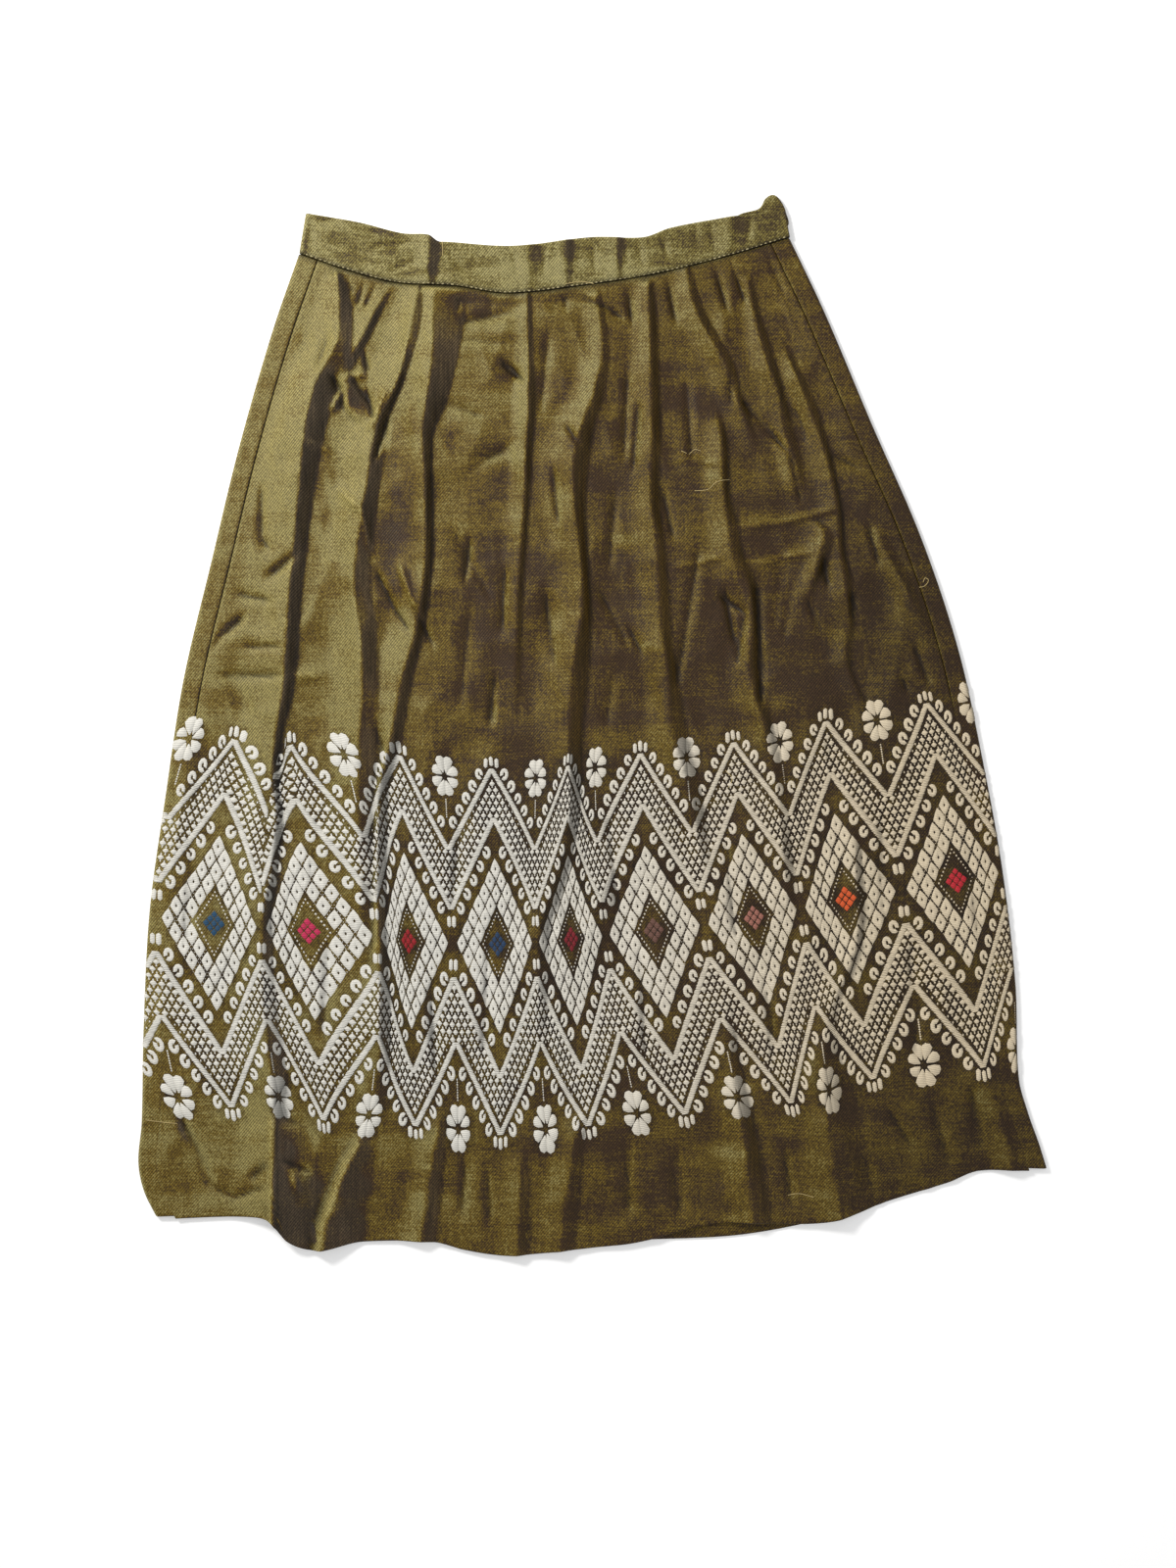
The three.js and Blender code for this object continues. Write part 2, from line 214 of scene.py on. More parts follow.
# place on the laid skirt: across 0 to 1 from edge to edge, down 0 to 1 from waist seam to hem
def planPoint(across, down):
    (wlx, wly), (wrx, wry) = outline["waistLeft"], outline["waistRight"]
    (hlx, hly), (hrx, hry) = outline["hemLeft"], outline["hemRight"]
    topX, hemX = mix(wlx, wrx, across), mix(hlx, hrx, across)
    topY = readRows(outline["waistRows"], "x", "y", topX)
    hemY = readRows(outline["hemRows"], "x", "y", hemX)
    leftX = readRows(outline["sideRows"], "down", "left", down)
    rightX = readRows(outline["sideRows"], "down", "right", down)
    leftY, rightY = mix(wly, hly, down), mix(wry, hry, down)
    cornerX = mix(topX, hemX, down)
    cornerY = mix(mix(wly, wry, across), mix(hly, hry, across), down)
    x = mix(leftX, rightX, across) + mix(topX, hemX, down) - cornerX
    y = mix(topY, hemY, down) + mix(leftY, rightY, across) - cornerY
    return x, y


# the other way round: which share across and down a plan place has
def shareAt(x, y):
    across = np.full(np.shape(x), 0.5)
    down = np.clip((outline["firstTop"] - y) / outline["firstLength"], 0, 1)
    for _ in range(outline["shareRounds"]):
        nowX, nowY = planPoint(across, down)
        across = across + (x - nowX) / widthAt(down)
        down = np.clip(down - (y - nowY) / leftLength, 0, 1)
    return across, down


# how far in from the nearer side edge
def inwardAt(across, down):
    return np.minimum(across, 1 - across) * widthAt(down)


def dropLength(across):
    return mix(leftLength, rightLength, across)


def hemShowAt(across):
    show = outline["hemShow"]
    hemX = mix(outline["hemLeft"][0], outline["hemRight"][0], across)
    return np.cos(np.clip((hemX - show["x"]) / show["halfWidth"], -1, 1) * math.pi / 2) ** 2


def frontLift(across):
    return outline["hemShow"]["frontLift"] * hemShowAt(across)


def backLift(across):
    return outline["hemShow"]["backLift"] * (1 - hemShowAt(across))


# pleats and folds of the front: crest from waist to hem, its rise and how wide it falls each side

def fold(*rows):
    return table("y x rise left right", *rows)


frontFolds = dict(
    leftPleat=fold(
        (337, -191.1, 3, 12, 3), (316, -189.6, 6, 24, 9), (287, -191.1, 8.5, 32, 12),
        (266, -202.1, 9.5, 36, 18), (250, -208.7, 10, 38, 17), (220, -215.4, 10, 40, 15),
        (173, -219.8, 9, 42, 10), (108, -226.4, 8, 42, 9), (29, -231.5, 7, 38, 7), (-4, -236.7, 6.5, 34, 4),
        (-44, -238.9, 6, 32, 3), (-66, -236.7, 6, 30, 4), (-112, -241.1, 5, 28, 5), (-138, -247, 4.5, 26, 7),
        (-205, -247.7, 4, 26, 11), (-265, -240.3, 6, 30, 12), (-294, -238.5, 6.5, 30, 10),
        (-303, -238, 8, 32, 24), (-340, -238, 9, 34, 32), (-378, -238, 9, 36, 29), (-404, -238, 9, 36, 26),
    ),
    leftFlapEdge=fold(
        (-290, -238.6, 0, 5, 3), (-300, -238.4, 3, 6, 3), (-340, -238.2, 4, 7, 3), (-404, -238.2, 4, 7, 3),
    ),
    leftWing=fold(
        (268, -186, 0, 6, 6), (258, -187, 3.5, 6, 14), (245, -186, 4.5, 6, 18), (234, -180, 3, 6, 14),
        (226, -172, 0, 5, 6),
    ),
    thinLens=fold(
        (329, -150.7, 0, 20, 3), (309, -163.2, 3.5, 22, 5), (290, -172.7, 4.5, 22, 6),
        (278, -179.3, 4, 20, 5), (261, -186, 0, 16, 4),
    ),
    lensPleat=fold(
        (329, -130.8, 2, 14, 4), (301, -136, 5, 20, 8), (278, -140.4, 6, 24, 6), (256, -146.3, 6, 26, 4),
        (229, -159.5, 6.5, 26, 6), (207, -165.4, 7, 26, 10), (173, -170.5, 7, 26, 10),
        (123, -177.9, 7, 26, 11), (103, -178.6, 6.5, 26, 12), (65, -174.2, 6.5, 26, 12),
        (29, -172.7, 6.5, 26, 12), (-15, -174.9, 6, 26, 13), (-59, -175.7, 5, 24, 13),
        (-118, -174.2, 3.5, 22, 12), (-162, -172.7, 0, 20, 10),
    ),
    deepPleat=fold(
        (326, -119.1, 4, 20, 25), (309, -119.8, 8, 26, 25), (290, -119.8, 10, 28, 22),
        (265, -121.3, 10, 30, 18), (243, -124.2, 10, 30, 15), (220, -127.2, 9, 30, 8),
        (191, -125.7, 8, 28, 5), (162, -125, 7, 26, 5), (118, -125.7, 7, 26, 5), (69, -133, 6.5, 26, 6),
        (39, -141.9, 6, 26, 7), (11, -147.7, 6, 26, 8), (-15, -153, 6, 6, 8), (-44, -159.5, 6, 4, 7),
        (-88, -161, 6, 4, 7), (-135, -161.7, 5.5, 4, 7), (-175, -160.5, 5, 8, 7), (-205, -159.5, 5, 20, 8),
        (-275, -161.7, 3, 22, 10), (-309, -162.4, 0, 20, 10),
    ),
    middleSeam=fold(
        (323, -49.2, 2, 10, 3), (279, -48.5, 3, 12, 4), (237, -48.5, 5, 14, 6), (213, -50, 5, 14, 5),
        (173, -51.4, 4.5, 14, 4), (108, -55.9, 4, 16, 4), (43, -58.1, 2.5, 16, 4), (0, -59.5, 0, 14, 4),
    ),
    centrePleat=fold(
        (323, 2.2, 2, 14, 4), (280, 6.6, 4, 18, 6), (250, 0.7, 6, 22, 8), (220, -10, 8, 26, 10),
        (195, -15, 9, 28, 12), (162, -14, 8.5, 28, 8), (129, -10.3, 8, 28, 6), (86, -8.1, 8, 28, 6),
        (66, -11.8, 9, 30, 10), (37, -16.2, 9.5, 30, 13), (0, -18.4, 8, 28, 11), (-37, -17.6, 6.5, 26, 9),
        (-76, -19.1, 5, 26, 8), (-118, -28.7, 4.2, 24, 8), (-148, -39, 3.8, 24, 8), (-191, -41.2, 3, 22, 8),
        (-228, -41.9, 2.4, 20, 8), (-265, -36, 0, 18, 8),
    ),
    rightCentrePleat=fold(
        (331, 41.2, 3, 12, 4), (301, 41.9, 5, 16, 6), (265, 42.6, 6, 18, 7), (220, 43.4, 6, 20, 7),
        (169, 42.6, 6, 20, 7), (138, 46.3, 6, 20, 7), (103, 48.5, 6, 20, 8), (76, 50, 5.5, 20, 8),
        (59, 52.2, 6, 20, 7), (29, 55.9, 6.5, 22, 9), (-4, 58.1, 6, 22, 12), (-44, 69.8, 4.5, 20, 10),
        (-88, 78.6, 3, 18, 8), (-132, 84.5, 0, 16, 8),
    ),
    rightPleat=fold(
        (343, 69.1, 2, 10, 4), (313, 75, 4.5, 14, 7), (287, 87.5, 6, 16, 8), (268, 98.5, 6, 18, 8),
        (252, 102.9, 5.5, 18, 7), (232, 111.7, 4, 16, 6), (204, 119.8, 0, 14, 5),
    ),
    rightLowerPleat=fold(
        (235, 91.9, 0, 14, 3), (213, 95.5, 5, 16, 5), (173, 97, 5.5, 18, 5), (147, 100.7, 5.5, 18, 8),
        (125, 103.6, 5, 18, 9), (103, 109.5, 4, 16, 8), (86, 115.4, 0, 14, 6),
    ),
    rightLowest=fold(
        (132, 108, 0, 12, 4), (103, 116.9, 4, 14, 6), (74, 118.3, 5, 16, 7), (43, 116.1, 6, 18, 11),
        (21, 120.5, 5.5, 18, 10), (-4, 127.2, 4, 16, 8), (-44, 136, 3, 16, 8), (-118, 143.3, 2.5, 16, 8),
        (-162, 147.7, 0, 14, 6),
    ),
    farPleat=fold(
        (335, 115.4, 2, 10, 4), (309, 119.8, 4, 12, 6), (271, 129.4, 5, 14, 7), (246, 138.2, 4, 14, 6),
        (223, 141.9, 4, 14, 8), (202, 146.3, 5, 12, 9), (184, 150.7, 4.5, 12, 7), (168, 154.3, 0, 10, 3),
    ),
    outerPleat=fold(
        (290, 140.4, 0, 10, 4), (260, 151.4, 4.5, 12, 6), (237, 161, 5, 14, 7), (204, 172.7, 5, 16, 5),
        (164, 182.3, 4.5, 16, 3), (129, 184.5, 4.5, 16, 4), (103, 188.2, 5, 16, 7), (81, 191.1, 4, 16, 6),
        (49, 188.9, 3, 14, 5), (29, 196.2, 2.5, 14, 5), (4, 209.5, 0, 12, 5),
    ),
    outerLens=fold(
        (154, 164.6, 0, 10, 3), (143, 171.3, 4, 12, 8), (129, 169.8, 4.5, 12, 7), (110, 163.9, 4, 12, 5),
        (88, 158, 0, 10, 4),
    ),
    edgePleat=fold(
        (147, 211.7, 0, 16, 6), (121, 222.7, 4, 18, 9), (103, 233, 5, 18, 10), (81, 244.8, 5, 18, 10),
        (62, 254.3, 3.5, 16, 8), (44, 258.7, 0, 14, 6),
    ),
    hemUnderlay=fold(
        (-287, -166.8, 0, 8, 6), (-309, -173.5, 3, 8, 12), (-331, -184.5, 5.5, 9, 21),
        (-359, -195.5, 7, 9, 27), (-376, -201.4, 7.5, 9, 30), (-404, -204.3, 7.5, 9, 29),
    ),
    hemLeftCrease=fold(
        (-287, -112.5, 0, 16, 6), (-312, -118.3, 4, 18, 8), (-345, -123.5, 5, 20, 10),
        (-379, -128.6, 5, 20, 12), (-404, -131.6, 5, 20, 12),
    ),
    hemMiddle=fold(
        (-316, -55.1, 0, 16, 6), (-338, -55.1, 3.5, 18, 7), (-375, -56.6, 4.5, 18, 8),
        (-404, -57.3, 4.5, 18, 8),
    ),
    hemCentre=fold(
        (-287, -9.6, 0, 16, 6), (-312, -14.7, 4, 18, 8), (-345, -19.8, 5, 20, 10), (-375, -23.5, 5, 20, 11),
        (-404, -25.7, 5, 20, 11),
    ),
    hemRight=fold(
        (-198, 95.5, 0, 16, 6), (-235, 100.7, 3, 18, 7), (-279, 106.6, 5, 22, 10), (-312, 111.7, 6, 24, 12),
        (-360, 118.3, 6, 24, 14), (-404, 122.7, 6, 24, 14),
    ),
    hemFarRight=fold(
        (-66, 191.8, 0, 12, 5), (-103, 195.5, 3, 14, 6), (-162, 196.2, 3.5, 16, 6), (-220, 174.2, 3, 18, 8),
        (-254, 171.3, 5, 20, 16), (-279, 172.7, 7, 22, 24), (-316, 176.4, 8, 24, 26),
        (-353, 182.3, 8, 26, 27), (-404, 188.9, 7.5, 26, 27),
    ),
    hemEdge=fold(
        (-257, 294, 0, 14, 6), (-287, 302.1, 3, 16, 10), (-323, 310.9, 4, 18, 14), (-360, 316.8, 4, 18, 14),
    ),
)

# creases pressed into the cloth: from x, y to x, y, half width, and rise or fall
frontCreases = table(
    "x0 y0 x1 y1 width rise",
    (-211, 344, -224, 295, 5, -1.6), (-224, 295, -232, 265, 4, -1), (-198, 290, -206, 266, 7, -1.4),
    (-186, 260, -167, 264, 5, 1.6), (-187, 254, -187, 237, 4, -2), (-171, 279, -168, 262, 5, -2.2),
    (-169, 250, -164, 228, 4, -2), (-196, 235, -187, 251, 5, 2.2), (-163, 198, -154, 229, 5, -2.4),
    (-154, 251, -167, 220, 4, 1.2), (-261, 81, -279, 66, 6, -2.4), (-279, 66, -296, 46, 7, -2.6),
    (-220, 129, -243, 110, 8, -2.4), (-248, 179, -248, 140, 6, -1.4), (-248, 140, -242, 131, 5, -1.4),
    (-268, 99, -239, 92, 6, -1.3), (-261, 59, -232, 58, 7, -1.5), (-279, 37, -232, 37, 7, -1.4),
    (-226, 37, -202, 37, 7, 1.2), (-252, 235, -259, 162, 8, -1.2), (-268, 176, -274, 103, 8, -1),
    (-162, 114, -149, 88, 5, -1.8), (-149, 88, -137, 70, 5, -1.6), (-74, 37, -77, 0, 6, -1.8),
    (-99, 301, -57, 310, 9, -1.6), (-68, 270, -55, 259, 6, -2), (-99, 290, -62, 285, 8, -1),
    (-110, 241, -77, 228, 9, -1), (-99, 198, -62, 204, 9, -0.9), (-105, 147, -77, 96, 9, -1.1),
    (-92, 88, -99, 15, 10, -1.2), (-33, 294, -39, 235, 9, -1.3), (-36, 103, -29, 44, 8, -1.3),
    (-33, 316, -11, 321, 5, -1.8), (-11, 321, 11, 312, 5, -2), (11, 312, 23, 304, 5, -1.6),
    (-99, 323, -101, 310, 5, -1.6), (-77, 323, -76, 307, 5, -1.2), (-22, 326, -20, 310, 5, -1.4),
    (26, 329, 29, 301, 5, -1.8), (55, 338, 62, 301, 5, -1.6), (90, 347, 101, 309, 5, -1.8),
    (103, 348, 114, 316, 4, -1.4), (130, 354, 143, 323, 5, -1.4), (-187, 341, -179, 323, 4, -1.6),
    (-171, 331, -176, 315, 4, -1.6), (-162, 329, -171, 312, 4, -1.4), (26, 265, 23, 198, 8, -1.4),
    (17, 176, 12, 118, 8, -1.3), (4, 103, 26, 59, 8, -1.4), (26, 74, 37, 53, 5, -1.4),
    (15, 37, 10, 0, 8, -1), (70, 257, 74, 198, 7, -1.2), (79, 132, 70, 74, 7, -1.4),
    (98, 103, 107, 59, 6, -1.8), (70, 74, 62, 29, 7, -1.4), (123, 103, 126, 15, 5, -2.4),
    (143, 132, 136, 74, 8, -1.2), (148, 103, 143, 66, 6, -1.4), (159, 96, 170, 72, 5, -1.4),
    (193, 100, 196, 76, 5, -2.8), (193, 47, 204, 18, 4, -2.2), (230, 37, 236, 25, 4, -1.4),
    (180, 202, 202, 191, 5, -1.2), (217, 198, 235, 132, 5, -1.6), (235, 132, 254, 103, 5, -1.4),
    (189, 250, 220, 176, 6, -1.2), (165, 301, 189, 250, 6, -1), (261, 96, 272, 59, 6, -1),
    (-309, -295, -295, -320, 6, -2.2), (-295, -320, -286, -345, 7, -2.2), (-286, -345, -268, -354, 7, -1.6),
    (-256, -340, -245, -328, 6, -2), (-268, -354, -245, -344, 6, -1.2), (-231, -326, -212, -334, 4, -1.8),
    (-224, -335, -221, -348, 6, 1.6), (-95, -323, -99, -368, 8, -1.2), (-79, -331, -77, -375, 8, -1.2),
    (26, -309, 26, -368, 10, -1.4), (62, -316, 65, -368, 10, -1.4), (143, -316, 148, -360, 8, -1.4),
    (220, -287, 239, -316, 8, -1.4), (254, -287, 267, -331, 8, -1.6), (283, -272, 290, -316, 7, -1.6),
    (-294, -88, -305, -162, 9, -1.2), (-202, -44, -208, -118, 8, -1.2), (-198, -162, -202, -235, 9, -1.2),
    (-99, -59, -105, -140, 9, -1.3), (-77, -147, -82, -250, 9, -1.2), (-121, -191, -117, -265, 8, -1.4),
    (11, -66, 20, -140, 9, -1.2), (35, -162, 40, -250, 9, -1.3), (99, -81, 108, -162, 9, -1.3),
    (129, -176, 136, -257, 9, -1.3), (217, -66, 220, -147, 9, -1.2), (239, -162, 242, -250, 9, -1.3),
    (279, -74, 290, -162, 8, -1.1), (298, -176, 301, -257, 8, -1.1), (104, 147, 142, 152, 4, 1.2),
    (142, 152, 182, 162, 4, 1.3), (124, 121, 167, 131, 5, 1.2), (173, 125, 176, 104, 4, -1.8),
    (95, 97, 113, 84, 4, -1.8), (113, 84, 108, 47, 5, -1.5), (113, 242, 147, 203, 4, -1.8),
    (147, 203, 155, 168, 4, -1.6), (102, 260, 104, 240, 6, -2), (-196, 262, -187, 246, 5, -2.2),
    (-181, 262, -168, 240, 4, -1.8), (-68, 272, -52, 258, 6, -2.2), (-92, 190, -58, 212, 6, -0.8),
    (-20, 224, -10, 208, 5, -1.8), (-104, 318, -48, 314, 6, -1.8), (-214, 214, -196, 205, 6, 1.4),
    (-190, 176, -172, 160, 6, 1.6), (-172, 160, -166, 128, 5, 1.2), (-144, 120, -132, 84, 5, 1.5),
    (-136, 92, -120, 60, 5, -1.6), (-92, 140, -96, 108, 5, -1.6), (-66, 118, -68, 70, 6, -1.4),
    (-30, 190, -26, 150, 5, -1.4), (34, 240, 30, 190, 5, -1.5), (52, 176, 60, 140, 5, -1.3),
    (60, 200, 92, 196, 5, 1.1), (62, 118, 96, 126, 5, 1.0), (150, 236, 158, 214, 5, -1.6),
    (206, 150, 214, 120, 5, -1.6), (240, 60, 252, 30, 5, -1.4),
)

front = dict(
    columns=292, rows=312, valleyHeight=3.2, bulk=3.6, bulkAtHem=0.55, waistHeight=6.1, sideBlend=34.0,
    waistBlend=40.0, foldStart=-4.0, foldsFromSide=16.0, wrinklesFromWaist=22.0, lowest=2.6,
    hemTurn=25.0, seamTurn=8.0, seed=11, reliefRounds=16, rimRounds=4,
    # size, height, how drawn out down the cloth, how sharp
    crumple=((70, 1.1, 1.6, 0), (40, 2.0, 2.0, 0.8), (18, 0.95, 1.6, 0.75)), creaseGain=1.9,
)


# how a fold falls on its soft and its steep side, how a crease fades, and how a crumple leans and sharpens
clothForm = dict(
    foldTail=8.0, softShare=0.45, steepPower=1.15, creaseFade=1.5, creaseCore=0.45, creasePower=1.3,
    crumpleLean=0.3, ridgeTop=0.6, ridgeSlope=1.7,
)


def foldHeight(rows, x, y):
    crest = readRows(rows, "y", "x", y)
    rise = np.maximum(readRows(rows, "y", "rise", y), 0)
    rise = np.where((y > rows["y"][0]) | (y < rows["y"][-1] - clothForm["foldTail"]), 0, rise)
    left, right = readRows(rows, "y", "left", y), readRows(rows, "y", "right", y)
    t = np.clip(np.abs(x - crest) / np.where(x < crest, left, right), 0, 1)
    share = clothForm["softShare"]
    softSide = share * smooth(1 - t) + (1 - share) * (1 - t) ** 2
    steepSide = 1 - t ** clothForm["steepPower"]
    return rise * np.where(x < crest, softSide, steepSide)


def creaseHeight(creases, x, y):
    total = np.zeros(np.shape(x))
    for x0, y0, x1, y1, width, rise in zip(*creases.values()):
        dx, dy = x1 - x0, y1 - y0
        length = math.hypot(dx, dy)
        along = ((x - x0) * dx + (y - y0) * dy) / length
        aside = ((x - x0) * dy - (y - y0) * dx) / length
        fade = width * clothForm["creaseFade"]
        ends = smooth(along, -width, fade) * smooth(length - along, -width, fade)
        core = np.abs(aside / (width * clothForm["creaseCore"])) ** clothForm["creasePower"]
        total = total + rise * ends * np.exp(-core)
    return total


def crumpleHeight(x, y, layers, seed):
    total = 0.0
    for k, (size, height, stretch, sharp) in enumerate(layers):
        lean = clothForm["crumpleLean"] * (-1) ** k
        soft = softNoise(x + lean * y, y - lean * x, size, seed + k, stretch)
        ridge = clothForm["ridgeTop"] - clothForm["ridgeSlope"] * np.abs(soft)
        total = total + height * mix(soft, ridge, sharp)
    return total


def frontHeight(across, down, x, y):
    fromSide = inwardAt(across, down) - outline["sideWrap"]
    fromWaist = down * leftLength
    nearWaist = smooth(fromWaist, 0, front["waistBlend"])
    inland = smooth(fromSide, 0, front["sideBlend"]) * nearWaist
    edge = mix(front["waistHeight"], outline["sideHeight"], nearWaist)
    bulk = front["bulk"] * np.sin(math.pi * np.clip(across, 0, 1)) * mix(1, front["bulkAtHem"], down)
    folded = sum(foldHeight(rows, x, y) for rows in frontFolds.values())
    creased = front["creaseGain"] * creaseHeight(frontCreases, x, y)
    wrinkled = creased + crumpleHeight(x, y, front["crumple"], front["seed"])
    wrinkled = wrinkled * smooth(fromWaist, 0, front["wrinklesFromWaist"])
    formed = (folded + wrinkled) * smooth(fromSide, front["foldStart"], front["foldsFromSide"])
    return np.maximum(mix(edge, front["valleyHeight"] + bulk, inland) + formed, front["lowest"])


# top of the whole laid skirt at a plan place
def topHeight(x, y):
    across, down = shareAt(x, y)
    inward = inwardAt(across, down)
    return np.where(inward < outline["sideWrap"], wrapHeight(inward), frontHeight(across, down, x, y))


# heights with their small forms evened out
def evened(height, rounds):
    for _ in range(rounds):
        wide = np.pad(height, 1, mode="edge")
        height = (wide[1:-1, 1:-1] + wide[:-2, 1:-1] + wide[2:, 1:-1] + wide[1:-1, :-2] + wide[1:-1, 2:]) / 5
    return height


# a grid of points to a mesh; outward is the side that shows
def gridMesh(name, x, y, z, flip=False, closedRows=False):
    rows, columns = x.shape
    points = np.stack([x, y, z], axis=-1).reshape(-1, 3) * mm
    index = np.arange(rows * columns).reshape(rows, columns)
    if closedRows:
        index = np.vstack([index, index[:1]])
    a, b, c, d = index[:-1, :-1], index[1:, :-1], index[1:, 1:], index[:-1, 1:]
    quads = np.stack([a, b, c, d] if not flip else [a, d, c, b], axis=-1).reshape(-1, 4)
    mesh = bpy.data.meshes.new(name)
    mesh.from_pydata(points.tolist(), [], quads.tolist())
    mesh.polygons.foreach_set("use_smooth", np.ones(len(mesh.polygons), bool))
    mesh.update()
    return mesh


def addPiece(name, mesh):
    piece = bpy.data.objects.new(name, mesh)
    bpy.context.scene.collection.objects.link(piece)
    return piece


def setFloat(mesh, name, values):
    attribute = mesh.attributes.new(name, "FLOAT", "POINT")
    attribute.data.foreach_set("value", np.ascontiguousarray(values, np.float32).ravel())


# grid lines of a cut edge: how far in from the edge, and how far under the face, from inside out
def turnedEdge(turn):
    return [(turn, 1.5), (1.1, 1.6), (0.15, 1.25), (0.0, 0.75), (0.3, 0.2), (0.9, 0.0)]


def edgeLines(count, startTurn, endTurn):
    lines = [(0.0, inset, drop) for inset, drop in turnedEdge(startTurn)]
    lines += [((k + 1) / (count + 1), 0.0, 0.0) for k in range(count)]
    lines += [(1.0, inset, drop) for inset, drop in turnedEdge(endTurn)[::-1]]
    return np.array(lines).T


faceEdge = 0.9  # a face is flat this far from its turned edge

# the side seam stands open above the woven band and lies closed beside it, its edges then less turned
sideSeam = dict(openTo=0.47, closedFrom=0.53, closedTurn=0.3, closedDrop=0.12, overlap=0.15, deepest=1.6)


def seamOpen(down):
    return 1 - smooth(down, sideSeam["openTo"], sideSeam["closedFrom"])


def makeSkirtFront():
    shareU, insetU, dropU = edgeLines(front["columns"], front["seamTurn"], front["seamTurn"])
    shareV, insetV, dropV = edgeLines(front["rows"], front["seamTurn"], front["hemTurn"])
    share, row = np.meshgrid(shareU, shareV)
    insetU, insetV = np.meshgrid(insetU, insetV)
    length = dropLength(share)
    start = outline["seamGap"] + np.where(row == 0, insetV, faceEdge)
    end = frontLift(share) + np.where(row == 1, insetV, faceEdge)
    down = mix(start / length, 1 - end / length, row)
    width = widthAt(down)
    opening = seamOpen(down)
    seam = outline["sideWrap"] + mix(-sideSeam["overlap"], outline["seamGap"], opening)
    turned = mix(sideSeam["closedTurn"], 1, opening)
    left = seam + np.where(share == 0, insetU, faceEdge) * turned
    right = seam + np.where(share == 1, insetU, faceEdge) * turned
    across = mix(left / width, 1 - right / width, share)
    x, y = planPoint(across, down)
    drop = dropU[None, :] * mix(sideSeam["closedDrop"], 1, opening) + dropV[:, None]
    z = frontHeight(across, down, x, y) - np.minimum(drop, sideSeam["deepest"])
    mesh = gridMesh("skirtFront", x, y, z)
    setFloat(mesh, "relief", z - evened(z, front["reliefRounds"]))
    setFloat(mesh, "rim", z - evened(z, front["rimRounds"]))
    return mesh


back = dict(
    columns=132, rows=210, floor=0.45, turnSteps=10, flapSteps=7, hemTurn=25.0, seamTurn=8.0,
    pleatFade=0.35, deepest=1.0, edgeRelief=0.3,
    # pressed pleats on the side that lies down: share across, length, depth, half width
    pleats=table(
        "across length depth width",
        (0.07, 420, 0.8, 9), (0.13, 240, 0.6, 7), (0.2, 560, 0.9, 10), (0.29, 310, 0.7, 8),
        (0.36, 640, 0.9, 10), (0.44, 280, 0.6, 7), (0.5, 690, 1.0, 11), (0.58, 330, 0.7, 8),
        (0.65, 520, 0.9, 9), (0.72, 260, 0.6, 7), (0.8, 600, 0.9, 10), (0.88, 350, 0.7, 8),
        (0.94, 450, 0.8, 8),
    ),
    crumple=((60, 0.4, 1.8, 0), (26, 0.3, 2.0, 0.7)), seed=31,
)


def backRelief(across, down, x, y):
    total = np.zeros(np.shape(x))
    for place, length, depth, width in zip(*back["pleats"].values()):
        aside = np.abs(across - place) * widthAt(down)
        fade = smooth(1 - down * leftLength / length, 0, back["pleatFade"])
        total = total + depth * smooth(1 - aside / width) * fade
    crumpled = np.maximum(crumpleHeight(x, y, back["crumple"], back["seed"]), 0)
    return np.minimum(total + crumpled, back["deepest"])


def turnCircle():
    return (outline["sideHeight"] - back["floor"]) / 2, (outline["sideHeight"] + back["floor"]) / 2


# where the back comes round a side edge: its height by the distance in from the edge
def wrapHeight(inward):
    radius, middle = turnCircle()
    d = np.clip(inward, 0, radius)
    return middle + np.sqrt(np.maximum(radius ** 2 - (radius - d) ** 2, 0))


# stations round the back: kind (0 left side, 1 right side, 2 flat), place and height
def backSection(inset, opening):
    radius, middle = turnCircle()
    top, wrap = outline["sideHeight"] - inset, outline["sideWrap"]
    turnShare, dropShare = (mix(sideSeam[name], 1, opening) for name in ("closedTurn", "closedDrop"))
    side = [(wrap - turn * turnShare, top - drop * dropShare) for turn, drop in turnedEdge(back["seamTurn"])]
    side += [(inward, top) for inward in np.linspace(wrap - faceEdge, radius, back["flapSteps"])[1:-1]]
    for k in range(back["turnSteps"] + 1):
        angle, reach = math.pi * k / back["turnSteps"], radius - inset
        side.append((radius - reach * math.sin(angle), middle + reach * math.cos(angle)))
    flat = [(2, (k + 1) / back["columns"], back["floor"] + inset) for k in range(back["columns"] - 1)]
    left = [(0, inward, z) for inward, z in side]
    right = [(1, inward, z) for inward, z in side[::-1]]
    return np.array(left + flat + right).T


def backAcross(kind, place, width):
    radius, _ = turnCircle()
    onFlat = mix(radius / width, 1 - radius / width, place)
    return np.where(kind == 0, place / width, np.where(kind == 1, 1 - place / width, onFlat))


def makeSkirtBack():
    rowsX, rowsY, rowsZ = [], [], []
    for share, inset, drop in zip(*edgeLines(back["rows"], back["seamTurn"], back["hemTurn"])):
        kind, place, height = backSection(drop, seamOpen(share))
        nominal = np.where(kind == 2, place, kind)
        length = dropLength(nominal)
        start = outline["seamGap"] + (inset if share == 0 else faceEdge)
        end = backLift(nominal) + (inset if share == 1 else faceEdge)
        down = mix(start / length, 1 - end / length, share)
        across = backAcross(kind, place, widthAt(down))
        x, y = planPoint(across, down)
        relief = np.where(kind == 2, backRelief(across, down, x, y), 0)
        rowsX.append(x)
        rowsY.append(y)
        rowsZ.append(height + relief * (1 if drop == 0 else back["edgeRelief"]))
    return gridMesh("skirtBack", np.array(rowsX), np.array(rowsY), np.array(rowsZ), flip=True)


# waistband: one strip folded along its top, from its right end across the front and round behind

